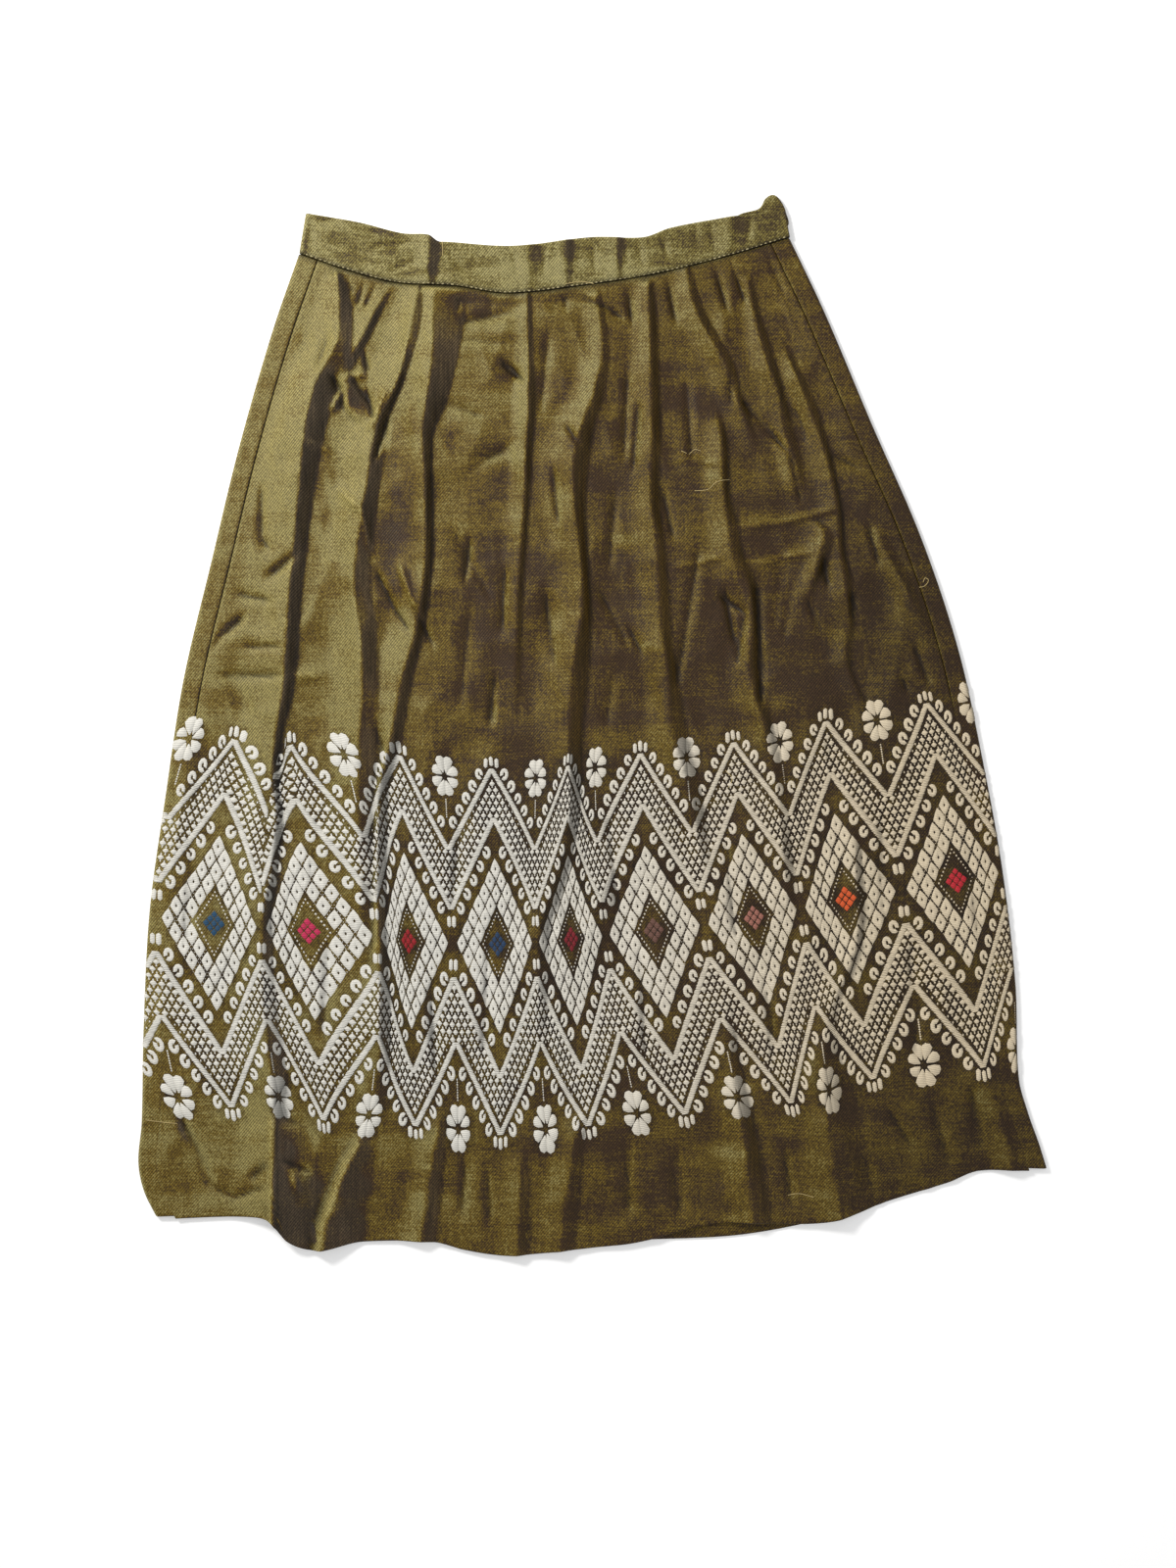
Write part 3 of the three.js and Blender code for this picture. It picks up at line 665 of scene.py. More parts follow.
waistband = dict(
    wall=2.0, height=6.1, frontColumns=230, backColumns=90, turnSteps=10, faceRows=22, endRound=0.8,
    upright=32.0, endGap=0.4, faceFrom=0.03, endFrom=0.02,  # its height as laid, and what its edges leave
    # upright folds, crest from the top edge to the seam
    folds=dict(
        leftJoin=fold((372, -122, 2.4, 14, 9), (352, -122.6, 2.2, 12, 7), (328, -123, 1.2, 12, 4)),
        leftSoft=fold((368, -48, 1.0, 14, 7), (325, -48.5, 0.7, 14, 5)),
        middle=fold((366, -19.5, 1.1, 12, 5), (326, -20.5, 0.8, 12, 4)),
        right=fold((366, 19, 1.6, 14, 5), (334, 18, 1.1, 12, 4)),
        farRight=fold((386, 103.5, 1.6, 16, 8), (350, 101, 0.9, 12, 5)),
    ),
    creases=table(
        "x0 y0 x1 y1 width rise",
        (-165, 358, -137, 360, 5, -1.3), (-204, 377, -188, 377, 4, -0.9), (-180, 372, -158, 366, 5, -0.8),
        (-196, 362, -168, 352, 6, -0.7), (-150, 340, -132, 347, 6, -0.9), (-128, 338, -112, 336, 5, -1.0),
        (-98, 343, -66, 341, 7, -0.7), (-108, 352, -94, 338, 6, -0.6), (-60, 352, -56, 338, 5, -0.6),
        (-38, 360, -36, 336, 6, -0.6), (0, 360, 2, 338, 6, -0.6), (34, 362, 36, 344, 6, -0.7),
        (52, 366, 56, 348, 6, -0.8), (76, 374, 78, 356, 7, -0.7), (88, 378, 90, 356, 5, -0.6),
        (118, 382, 116, 362, 6, -0.8), (-212, 372, -210, 362, 5, -0.8),
    ),
    crumple=((26, 0.45, 1.0, 0.3), (10, 0.18, 1.0, 0.5)), creaseGain=1.5, seed=53,
)


def waistbandRelief(x, y):
    folded = sum(foldHeight(rows, x, y) for rows in waistband["folds"].values())
    creased = waistband["creaseGain"] * creaseHeight(waistband["creases"], x, y)
    return folded + creased + crumpleHeight(x, y, waistband["crumple"], waistband["seed"])


# the section up the band: (distance from its nearer edge, which edge, depth under the face)
def waistbandProfile():
    wall = waistband["wall"]
    rows = [(0.0, 0, 0.8), (0.12, 0, 0.35), (0.5, 0, 0.06)]
    rows += [((k + 0.5) / waistband["faceRows"], 2, 0.0) for k in range(waistband["faceRows"])]
    rows += [(0.7, 1, 0.05), (0.2, 1, 0.35), (0.0, 1, 0.8), (0.0, 1, 1.2), (0.25, 1, 1.7), (0.9, 1, wall)]
    rows += [((5 - k) / 6, 2, wall) for k in range(5)]
    rows += [(0.9, 0, wall), (0.25, 0, 1.7), (0.0, 0, 1.2)]
    return rows


# stations round the band at one depth under its face: share across, height, and whether it is creased
def waistbandStations(depth, width):
    height, radius = waistband["height"], waistband["height"] / 2
    columns, behind, turnSteps = (waistband[name] for name in ("frontColumns", "backColumns", "turnSteps"))
    endShare, turnShare = 1 - waistband["endGap"] / width, radius / width
    stations = [(1, height - waistband["wall"] / 2, 0), (1, height - depth, 1)]
    stations += [(mix(endShare, turnShare, k / columns), height - depth, 1) for k in range(columns)]
    for k in range(turnSteps + 1):
        angle, reach = math.pi * k / turnSteps, radius - depth
        stations.append(((radius - reach * math.sin(angle)) / width, radius + reach * math.cos(angle), 0))
    stations += [(mix(turnShare, 1, (k + 1) / behind), depth, 0) for k in range(behind)]
    stations.append((1, waistband["wall"] / 2, 0))
    return np.array(stations).T


def makeWaistbandCloth():
    leftX, rightX = outline["waistLeft"][0], outline["waistRight"][0]
    upright, faceFrom, endFrom = (waistband[name] for name in ("upright", "faceFrom", "endFrom"))
    rowsX, rowsY, rowsZ = [], [], []
    for place, edge, depth in waistbandProfile():
        across, height, creased = waistbandStations(depth, rightX - leftX)
        ends = np.isin(np.arange(len(across)), (0, len(across) - 1))
        seamX = mix(leftX, rightX, across)
        topX = mix(outline["bandTopLeft"][0], outline["bandTopRight"][0], across)
        seamY = readRows(outline["waistRows"], "x", "y", seamX)
        topY = readRows(outline["bandTopRows"], "x", "y", topX)
        up = (place / upright, 1 - place / upright, mix(faceFrom, 1 - faceFrom, place))[edge]
        up = np.where(ends, mix(endFrom, 1 - endFrom, up), up)
        x, y = mix(seamX, topX, up), mix(seamY, topY, up)
        rowsX.append(x + np.where(ends, waistband["endRound"] / 2, 0))
        rowsY.append(y)
        rowsZ.append(height + waistbandRelief(x, y) * creased)
    mesh = gridMesh("waistbandCloth", np.array(rowsX), np.array(rowsY), np.array(rowsZ), closedRows=True)
    return sealMesh(mesh)


# merges doubles and turns every face outwards
def sealMesh(mesh):
    work = bmesh.new()
    work.from_mesh(mesh)
    bmesh.ops.remove_doubles(work, verts=work.verts, dist=0.00001)
    bmesh.ops.recalc_face_normals(work, faces=work.faces)
    work.to_mesh(mesh)
    work.free()
    return mesh


# end tab of the waistband, folded double and tucked between the band's two layers

tab = dict(
    wall=1.5, base=2.3, edgeRound=0.6, pointsPerSide=6,
    swell=((4.0, 0.15), (9.0, -0.1)),  # how far in, and how far above the plain face
    corners=(
        (108, 360), (143.5, 371), (144.5, 384), (139.5, 394),
        (134.5, 397), (129, 394), (124, 386.5), (107, 380),
    ),
)


# a smooth curve from b to c, between the neighbours a and d
def curvePoint(a, b, c, d, t):
    line = 2 * b + (c - a) * t
    return 0.5 * (line + (2 * a - 5 * b + 4 * c - d) * t ** 2 + (3 * b - a - 3 * c + d) * t ** 3)


def makeTabCloth():
    corners = np.array(tab["corners"], float)
    middle = corners.mean(axis=0)
    points = []
    for k in range(len(corners)):
        around = [corners[(k + n) % len(corners)] for n in (-1, 0, 1, 2)]
        points += [curvePoint(*around, step / tab["pointsPerSide"]) for step in range(tab["pointsPerSide"])]
    away = np.array(points + points[:1]) - middle
    size = np.linalg.norm(away, axis=1, keepdims=True)
    low, high, cut = tab["base"], tab["base"] + tab["wall"], tab["edgeRound"]
    # from the middle of its underside out round the rim and back over its face; None is the middle
    levels = [(None, low), (cut, low), (cut / 4, low + cut / 4), (0, low + cut), (0, high - cut)]
    levels += [(cut / 4, high - cut / 4), (cut, high)]
    levels += [(inset, high + swell) for inset, swell in tab["swell"]] + [(None, high)]
    rings = []
    for inset, z in levels:
        share = np.zeros_like(size) if inset is None else np.clip(1 - inset / size, 0, 1)
        rings.append(np.column_stack([middle + away * share, np.full(len(away), z)]))
    grid = np.array(rings)
    return sealMesh(gridMesh("waistbandTabCloth", grid[..., 0], grid[..., 1], grid[..., 2]))


# finishes: shared effects are node groups, built once

def srgb(red, green, blue):
    shares = (level / 255 for level in (red, green, blue))
    return tuple(((s + 0.055) / 1.055) ** 2.4 if s > 0.04 else s / 12.92 for s in shares) + (1.0,)


def newGroup(name, kind, inputs, outputs):
    group = bpy.data.node_groups.new(name, kind)
    for side, sockets in (("INPUT", inputs), ("OUTPUT", outputs)):
        for label, holds, *value in sockets:
            socket = group.interface.new_socket(name=label, in_out=side, socket_type="NodeSocket" + holds)
            if value:
                socket.default_value = value[0]
    return group, group.nodes.new("NodeGroupInput").outputs, group.nodes.new("NodeGroupOutput").inputs


def feed(tree, inputs, values):
    for name, value in values.items():
        if isinstance(value, bpy.types.NodeSocket):
            tree.links.new(value, inputs[name])
        else:
            inputs[name].default_value = value


def addNode(tree, kind, values, **settings):
    node = tree.nodes.new(kind)
    for name, value in settings.items():
        setattr(node, name, value)
    feed(tree, node.inputs, values)
    return node


# one operation over its values in turn
def reckon(tree, operation, *values, clamp=False):
    total = values[0]
    for value in values[1:] or (0.0,):
        node = addNode(tree, "ShaderNodeMath", {0: total, 1: value}, operation=operation, use_clamp=clamp)
        total = node.outputs[0]
    return total


def spread(tree, value, low, high, toLow=0.0, toHigh=1.0):
    ends = {"Value": value, "From Min": low, "From Max": high, "To Min": toLow, "To Max": toHigh}
    return addNode(tree, "ShaderNodeMapRange", ends).outputs["Result"]


def blendColor(tree, share, a, b):
    return addNode(tree, "ShaderNodeMix", {0: share, 6: a, 7: b}, data_type="RGBA").outputs[2]


def scaleVector(tree, vector, factor):
    return addNode(tree, "ShaderNodeVectorMath", {0: vector, "Scale": factor}, operation="SCALE").outputs[0]


# noise in metres, drawn out by a scale on each axis
def drawnNoise(tree, place, scale, detail=2.0, roughness=0.5):
    drawn = addNode(tree, "ShaderNodeMapping", {"Vector": place, "Scale": scale}).outputs["Vector"]
    values = {"Vector": drawn, "Scale": 1.0, "Detail": detail, "Roughness": roughness}
    return addNode(tree, "ShaderNodeTexNoise", values).outputs["Fac"]


# ridges of a given period across a direction, 0 to 1
def diagonal(tree, place, direction, period):
    dot = addNode(tree, "ShaderNodeVectorMath", {0: place, 1: direction}, operation="DOT_PRODUCT")
    turns = reckon(tree, "DIVIDE", dot.outputs["Value"], period)
    wave = reckon(tree, "SINE", reckon(tree, "MULTIPLY", turns, 2 * math.pi))
    return spread(tree, wave, -1, 1)


surfaceOutputs = (("Color", "Color"), ("Height", "Float"), ("Roughness", "Float"))

silk = dict(
    colors={
        "Pale Gold": srgb(127, 116, 68), "Old Gold": srgb(98, 79, 22), "Warp Brown": srgb(58, 41, 23),
        # the two satin colours are painted shade: the colour of slopes turned from the light, near the window
        # and far from it
        "Satin": srgb(60, 51, 39), "Far Satin": srgb(62, 46, 14),
    },
    waistband={
        "Pale Gold": srgb(135, 126, 80), "Old Gold": srgb(104, 92, 42), "Warp Brown": srgb(66, 53, 32),
        "Slubs": 1.4,
    },
    surface={
        "Sheen Weight": 0.04, "Sheen Roughness": 0.4, "Sheen Tint": srgb(214, 196, 130),
        "Specular IOR Level": 0.2,
    },
    twillPeriod=0.0016, lineDirection=(0.78, -0.62, 0), stepDirection=(math.sqrt(0.5), math.sqrt(0.5), 0),
    stepPeriod=1.37, lineShare=0.76, stepShare=0.24,
    # each kind of unevenness: how it is drawn out, noise detail, and its share of the gold
    uneven=dict(
        weftSlub=((55, 1000, 55), 2.0, 0.3), warpStreak=((900, 42, 42), 2.0, 0.22),
        bars=((8, 46, 8), 3.0, 0.36), mottle=((26, 40, 30), 3.0, 0.32), speckle=((560, 700, 560), 1.0, 0.34),
    ),
    unevenRoughness=0.6, unevenFrom=0.32, unevenTo=0.68,
    # from what and to what each mask shades the colour
    twillShade=(0.15, 0.85, 0.48, 1.4), speckleShade=(0, 1, 0.76, 1.24), glint=(0, 1, -0.3, 0.4),
    twillHeight=0.55, slubHeight=0.28, streakHeight=0.17, twillRoughness=(0, 1, 0.6, 0.48), satinSmooth=0.12,
)


# shot silk twill: gold weft over a brown warp, with slubs, bars and mottling, and the painted satin shade and
# glint of slopes turned from the light
def makeShotSilk():
    inputs = [
        ("Place", "Vector"), ("Gold", "Float", 0.7), ("Turned", "Float", 0.0), ("Far Side", "Float", 0.0),
        ("Shade", "Float", 1.0), ("Twill Period", "Float", silk["twillPeriod"]), ("Slubs", "Float", 1.0),
    ]
    inputs += [(name, "Color", color) for name, color in silk["colors"].items()]
    group, given, result = newGroup("shotSilk", "ShaderNodeTree", inputs, surfaceOutputs)
    place, period, turned = given["Place"], given["Twill Period"], given["Turned"]
    lines = diagonal(group, place, silk["lineDirection"], period)
    wider = reckon(group, "MULTIPLY", period, silk["stepPeriod"])
    steps = diagonal(group, place, silk["stepDirection"], wider)
    twill = reckon(group, "ADD", reckon(group, "MULTIPLY", lines, silk["lineShare"]),
                   reckon(group, "MULTIPLY", steps, silk["stepShare"]))
    masks = {}
    drift = 0.0
    for kind, (scale, detail, share) in silk["uneven"].items():
        noise = drawnNoise(group, place, scale, detail, silk["unevenRoughness"])
        masks[kind] = spread(group, noise, silk["unevenFrom"], silk["unevenTo"])
        drift = reckon(group, "ADD", reckon(group, "MULTIPLY", masks[kind], share), drift)
    middle = sum(share for _, _, share in silk["uneven"].values()) / 2
    drift = reckon(group, "MULTIPLY", reckon(group, "SUBTRACT", drift, middle), given["Slubs"])
    gold = reckon(group, "ADD", given["Gold"], drift, clamp=True)
    color = blendColor(group, spread(group, gold, 0, 0.5), given["Warp Brown"], given["Old Gold"])
    color = blendColor(group, spread(group, gold, 0.5, 1), color, given["Pale Gold"])
    # painted shade: slopes turned from the light take a dark satin colour, with a painted glint along its
    # streaks
    satin = blendColor(group, given["Far Side"], given["Satin"], given["Far Satin"])
    color = blendColor(group, turned, color, satin)
    glint = reckon(group, "MULTIPLY", turned, spread(group, masks["warpStreak"], *silk["glint"]))
    shade = reckon(
        group, "MULTIPLY", spread(group, twill, *silk["twillShade"]), given["Shade"],
        spread(group, masks["speckle"], *silk["speckleShade"]), reckon(group, "ADD", glint, 1.0))
    height = reckon(
        group, "ADD", reckon(group, "MULTIPLY", twill, silk["twillHeight"]),
        reckon(group, "MULTIPLY", masks["weftSlub"], silk["slubHeight"]),
        reckon(group, "MULTIPLY", masks["warpStreak"], silk["streakHeight"]))
    smoother = reckon(group, "MULTIPLY", turned, silk["satinSmooth"])
    rough = reckon(group, "SUBTRACT", spread(group, twill, *silk["twillRoughness"]), smoother)
    feed(group, result, {"Color": scaleVector(group, color, shade), "Height": height, "Roughness": rough})
    return group


yarn = dict(
    floatHeight=1.25, fibreScale=(0.5, 3.6, 1), fibreDetail=2.0, unevenScale=(0.09, 0.09, 0.09),
    unevenDetail=3.0, noiseRoughness=0.6, noiseRange=(0.3, 0.7),
    # from what and to what each mask shades the colour and sets the roughness
    floatShade=(0, 0.6, 0.66, 1.0), fibreShade=(0, 1, 0.86, 1.06), unevenShade=(0, 1, 0.92, 1.05),
    fibreRoughness=(0, 1, 0.52, 0.68), floatBump=0.7, fibreBump=0.3,
    surface={"Sheen Weight": 0.1, "Sheen Roughness": 0.5, "Specular IOR Level": 0.3},
)


# satin floats of a raised yarn: fine fibres along each float and a little unevenness
def makeYarnFloats():
    inputs = [
        ("Chart", "Vector"), ("Yarn Color", "Color", srgb(232, 224, 208)),
        ("Float Height", "Float", yarn["floatHeight"]),
    ]
    group, given, result = newGroup("yarnFloats", "ShaderNodeTree", inputs, surfaceOutputs)
    floats = diagonal(group, given["Chart"], (0, 1, 0), given["Float Height"])
    masks = []
    for kind in ("fibre", "uneven"):
        scale, detail = yarn[kind + "Scale"], yarn[kind + "Detail"]
        noise = drawnNoise(group, given["Chart"], scale, detail, yarn["noiseRoughness"])
        masks.append(spread(group, noise, *yarn["noiseRange"]))
    fibres, uneven = masks
    shade = reckon(
        group, "MULTIPLY", spread(group, floats, *yarn["floatShade"]),
        spread(group, fibres, *yarn["fibreShade"]), spread(group, uneven, *yarn["unevenShade"]))
    height = reckon(group, "ADD", reckon(group, "MULTIPLY", floats, yarn["floatBump"]),
                    reckon(group, "MULTIPLY", fibres, yarn["fibreBump"]))
    feed(group, result, {
        "Color": scaleVector(group, given["Yarn Color"], shade), "Height": height,
        "Roughness": spread(group, fibres, *yarn["fibreRoughness"]),
    })
    return group


def newMaterial(name):
    material = bpy.data.materials.new(name)
    material.use_nodes = True
    return material, material.node_tree, material.node_tree.nodes["Principled BSDF"]


def readAttribute(tree, name):
    return addNode(tree, "ShaderNodeAttribute", {}, attribute_type="GEOMETRY", attribute_name=name)


weaveBump = dict(Distance=0.0003, Strength=0.8)


def useGroup(tree, group, shader):
    node = addNode(tree, "ShaderNodeGroup", {}, node_tree=group)
    bump = addNode(tree, "ShaderNodeBump", {"Height": node.outputs["Height"], **weaveBump})
    feed(tree, shader.inputs, {
        "Normal": bump.outputs["Normal"], "Base Color": node.outputs["Color"],
        "Roughness": node.outputs["Roughness"],
    })
    return node


def makeSilkMaterial(name, changes):
    material, tree, shader = newMaterial(name)
    weave = useGroup(tree, shotSilk, shader)
    place = addNode(tree, "ShaderNodeTexCoord", {}).outputs["Object"]
    feed(tree, weave.inputs, {"Place": place, **changes})
    painted = {"Gold": "gold", "Turned": "turned", "Far Side": "farSide", "Shade": "shade"}
    for socket, attribute in painted.items():
        feed(tree, weave.inputs, {socket: readAttribute(tree, attribute).outputs["Fac"]})
    feed(tree, shader.inputs, silk["surface"])
    return material


def makeYarnMaterial(name):
    material, tree, shader = newMaterial(name)
    floats = useGroup(tree, yarnFloats, shader)
    feed(tree, floats.inputs, {
        "Chart": readAttribute(tree, "chart").outputs["Vector"],
        "Yarn Color": readAttribute(tree, "yarnColor").outputs["Color"],
    })
    feed(tree, shader.inputs, yarn["surface"])
    return material


thread = dict(
    direction=(0.8, 0.6, 0), unevenScale=(400, 400, 400), twistShade=(0, 1, 0.7, 1.05),
    unevenShade=(0.3, 0.7, 0.8, 1.15), bump=0.0002,
)


# plain thread or nylon: fine twist lines and a little unevenness
def makeThreadMaterial(name, color, twist, roughness):
    material, tree, shader = newMaterial(name)
    place = addNode(tree, "ShaderNodeTexCoord", {}).outputs["Object"]
    lines = diagonal(tree, place, thread["direction"], twist)
    uneven = drawnNoise(tree, place, thread["unevenScale"])
    shade = reckon(tree, "MULTIPLY", spread(tree, lines, *thread["twistShade"]),
                   spread(tree, uneven, *thread["unevenShade"]))
    bump = addNode(tree, "ShaderNodeBump", {"Distance": thread["bump"], "Height": lines})
    feed(tree, shader.inputs, {
        "Base Color": scaleVector(tree, color[:3], shade), "Normal": bump.outputs["Normal"],
        "Roughness": roughness,
    })
    return material


patchRim = dict(sizes=(14, 16), seeds=(91, 92), power=1.5)


# soft patches, a little ragged, that raise or lower the gold: on the front and the band, painted highlights
# and painted shade where the silk catches the light or turns from it; on the back, plain changes of tone
def lightAndTonePatches(rows, x, y, ragged):
    shiftX, shiftY = (
        ragged * softNoise(x, y, size, seed) for size, seed in zip(patchRim["sizes"], patchRim["seeds"]))
    total = np.zeros(np.shape(x))
    for px, py, wide, high, change in zip(*rows.values()):
        far = ((x + shiftX - px) / wide) ** 2 + ((y + shiftY - py) / high) ** 2
        total = total + change * np.exp(-far ** patchRim["power"])
    return total


def takeFloats(mesh, name):
    values = np.zeros(len(mesh.vertices))
    if name in mesh.attributes:
        mesh.attributes[name].data.foreach_get("value", values)
        mesh.attributes.remove(mesh.attributes[name])
    return values


# painted shade: darker along the waist seam and towards the far lower side
def placeShade(tone, x, y):
    rows = outline["waistRows"]
    seamY = readRows(rows, "x", "y", np.clip(x, rows["x"][0], rows["x"][-1]))
    pucker = tone["puckerFrom"] + (1 - tone["puckerFrom"]) * softNoise(x, y, *tone["puckerNoise"])
    bySeam = tone["seamShade"] * pucker * smooth(1 - np.abs(y - seamY) / tone["seamWidth"])
    byFar = tone["farShade"] * smooth(x, *tone["farAcross"]) * smooth(-y, *tone["farUp"])
    return bySeam, byFar


# cloth tone from the way the cloth lies, with painted light and shade: gold where it leans to the light,
# brown where it turns away
def paintCloth(piece, tone, packedAt=None):
    mesh = piece.data
    normals, places = np.empty(len(mesh.vertices) * 3), np.empty(len(mesh.vertices) * 3)
    mesh.vertex_normals.foreach_get("vector", normals)
    mesh.vertices.foreach_get("co", places)
    relief, rim = takeFloats(mesh, "relief"), takeFloats(mesh, "rim")
    nx, ny = normals.reshape(-1, 3).T[:2]
    x, y = places.reshape(-1, 3).T[:2] / mm
    left, right, edge = (readRows(tone["rows"], "y", column, y) for column in ("left", "right", "edge"))
    nearWindow = smooth((edge - x) / tone["width"] + 0.5)
    lively = mix(tone["farLively"], 1, nearWindow)
    # painted light and shade: a highlight on crests, shade along crease lines and in hollows, more gold where
    # the cloth leans to the light and less where it turns away
    crest = smooth(rim, *tone["crestRange"]) * lively
    line = smooth(-rim, *tone["lineRange"])
    hollow = smooth(-relief, *tone["hollowRange"])
    gold = mix(right, left, nearWindow) + lively * (tone["upToGold"] * ny - tone["turnToBrown"] * nx)
    gold = gold + crest * tone["crestHighlightGold"] - hollow * tone["hollowShadeBrown"]
    gold = gold + lightAndTonePatches(tone["patches"], x, y, tone["ragged"])
    # painted shade: slopes turned from the light, and the brownest cloth near the window, take the dark satin
    # colour
    drift = tone["satinDrift"] * softNoise(x, y, *tone["satinNoise"])
    far = tone["farSatin"] * (1 - nearWindow)
    turned = smooth(nx + drift, tone["satinFrom"] + far, tone["satinTo"] + far) * tone["satinShare"]
    turned = np.maximum(turned, smooth(-gold, *tone["brownRange"]) * nearWindow * tone["brownShare"])
    # a painted glint and a painted sheen inside the satin shade
    glint = tone["glint"] * smooth(1 - np.abs(nx - tone["glintLean"]) / tone["glintWidth"]) * nearWindow
    sheen = tone["sheen"] * softNoise(x, y, *tone["sheenNoise"]) + glint
    shade = (1 - hollow * tone["hollowShade"]) * (1 + crest * tone["crestShade"]) * (1 + turned * sheen)
    bright = np.clip(gold - tone["brightFrom"], 0, tone["brightRange"])
    shade = shade * (1 - line * tone["lineShade"]) * (1 + tone["highlight"] * bright)
    for darker in placeShade(tone, x, y):
        shade = shade * (1 - darker)
    # painted shade on the cloth between the packed yarn
    if packedAt is not None:
        packed = packedAt(x, y)
        gold = gold * (1 - tone["packedShadeGold"] * packed)
        shade = shade * (1 - tone["packedShade"] * packed)
    setFloat(mesh, "gold", np.clip(gold, 0, 1))
    setFloat(mesh, "turned", np.clip(turned, 0, 1))
    setFloat(mesh, "farSide", 1 - nearWindow)
    setFloat(mesh, "shade", shade)


# the woven band, charted flat: u across and v up from its middle line, both in millimetres of cloth

chart = dict(
    pitch=83.0, columns=10, overhang=0.2, frontKeep=0.8, backKeep=1.2, wobble=0.09, lean=0.1, seed=7,
    # peak and valley of the two zigzag lines, and the floats that draw them
    innerLine=(96.0, 24.0), outerLine=(135.0, 68.0), floatSize=(5.8, 1.25), floatStep=1.12, floatRise=0.6,
    stars=14, starRow=5.07, starSize=(5.4, 4.2), speckSize=(2.0, 3.0), speckRise=0.75, starRoom=(5.8, 5.4),
    hooks=6, hookSize=(7.4, 9.8), hookAside=(4.9, 5.5), hookEnd=0.65, hookRoom=(3.0, 1.5),
    postSize=(3.9, 9.4), peakPosts=((0, 141), (-4.8, 139.5), (4.8, 139.5)), valleyPost=(2.2, 15.5),
    flowerHeight=126.0, flowerHalf=(12.5, 17.5), petals=8, petalWidth=9.4, petalAt=0.57, petalLength=0.82,
    petalRise=1.3, stemDots=9, stemFrom=107.5, stemStep=1.7, stemDotSize=(2.1, 2.6), stemRise=0.45,
    cells=7, cellHalf=(5.5, 9.4), cellShare=0.89, beadStep=0.25, beadFrom=1.6, beadSize=(1.15, 1.15),
    beadRise=0.3, ringHalf=(13.6, 23.0), ringDots=9, ringDotSize=(2.3, 2.6), ringRise=0.5,
    patchSize=(6.0, 6.6), rise=0.55,
)


# where each column of the chart lies on the laid cloth, at its own height v, its middle and below
bandColumns = table(
    "column v topX topY midX midY lowX lowY",
    (0, 145, -338, 6, -371, -138, -352, -285), (0.5, 126, -302.1, -10.3, -327.1, -143.3, -310.2, -278.6),
    (1, 145, -266.1, -0.7, -283.7, -148.5, -268.3, -296.2),
    (1.5, 126, -237, -30, -247.7, -151.4, -234.5, -277.8),
    (2, 145, -227.1, -4.4, -213.2, -154.3, -200.7, -305.8),
    (2.5, 126, -186, -22.1, -161.7, -158, -167.6, -291.8),
    (3, 145, -145.5, -12.5, -138.2, -161.7, -132.3, -310.2),
    (3.5, 126, -111, -38.2, -105.1, -163.2, -100.7, -302.1),
    (4, 145, -76.4, -23.5, -71.3, -163.9, -69.1, -317.5),
    (4.5, 126, -42.6, -39.7, -42.6, -162.4, -35.3, -302.1),
    (5, 145, -18.4, -21.3, -16.2, -160.2, -2.2, -310.2), (5.5, 126, 1.5, -31.6, 9.6, -157.3, 33.1, -290.3),
    (6, 145, 35.3, -11.8, 45.6, -153.6, 71.3, -301.4), (6.5, 126, 69.8, -24.3, 83.1, -149.2, 108, -277.8),
    (7, 145, 104.4, -3.7, 120.5, -144.1, 150.7, -293.3),
    (7.5, 126, 139.7, -12.5, 155.8, -137.4, 176.4, -272.7),
    (8, 145, 173.5, 12.5, 188.9, -130.1, 211.7, -274.9),
    (8.5, 126, 212.4, 3.7, 230.8, -123.5, 247.7, -254.3),
    (9, 145, 247.7, 25.7, 271.9, -116.1, 293.3, -266.8), (9.5, 126, 283, 17.6, 306.5, -109.5, 316.8, -242.5),
    (10, 145, 318, 44, 341, -102, 336, -250),
)
for axis in "XY":
    high, low, middle = (bandColumns[part + axis] for part in ("top", "low", "mid"))
    bandColumns["slope" + axis] = (high - low) / (2 * bandColumns["v"])
    bandColumns["bow" + axis] = (high + low - 2 * middle) / (2 * bandColumns["v"] ** 2)

# the left pleat swallows part of the upper band between two columns
swallowed = dict(column=1.5, before=0.17, after=0.36, fullAt=126.0)

yarnColors = dict(
    ivory=srgb(229, 226, 216), cream=srgb(226, 209, 178),
    centres=(srgb(28, 72, 104), srgb(200, 44, 88), srgb(158, 24, 34), srgb(34, 62, 96), srgb(128, 24, 36),
             srgb(112, 78, 66), srgb(170, 112, 96), srgb(222, 92, 40), srgb(196, 34, 48), srgb(40, 74, 70)),
)


def zigzag(u, peak, valley):
    share = np.abs((u / chart["pitch"] + 0.5) % 1 - 0.5) * 2
    return peak - (peak - valley) * share


# marks of one column of the chart: kind, u, v, turn, size, rise, and the number of its colour if it has one

# solid lines of satin floats
def lineMarks(up):
    for peak, valley in (chart["innerLine"], chart["outerLine"]):
        for k in range(int((peak - valley) / chart["floatStep"])):
            v = peak - (k + 0.5) * chart["floatStep"]
            u = chart["pitch"] / 2 * (peak - v) / (peak - valley)
            for side in (-1, 1):
                yield "float", side * u, up * v, 0, chart["floatSize"], chart["floatRise"]


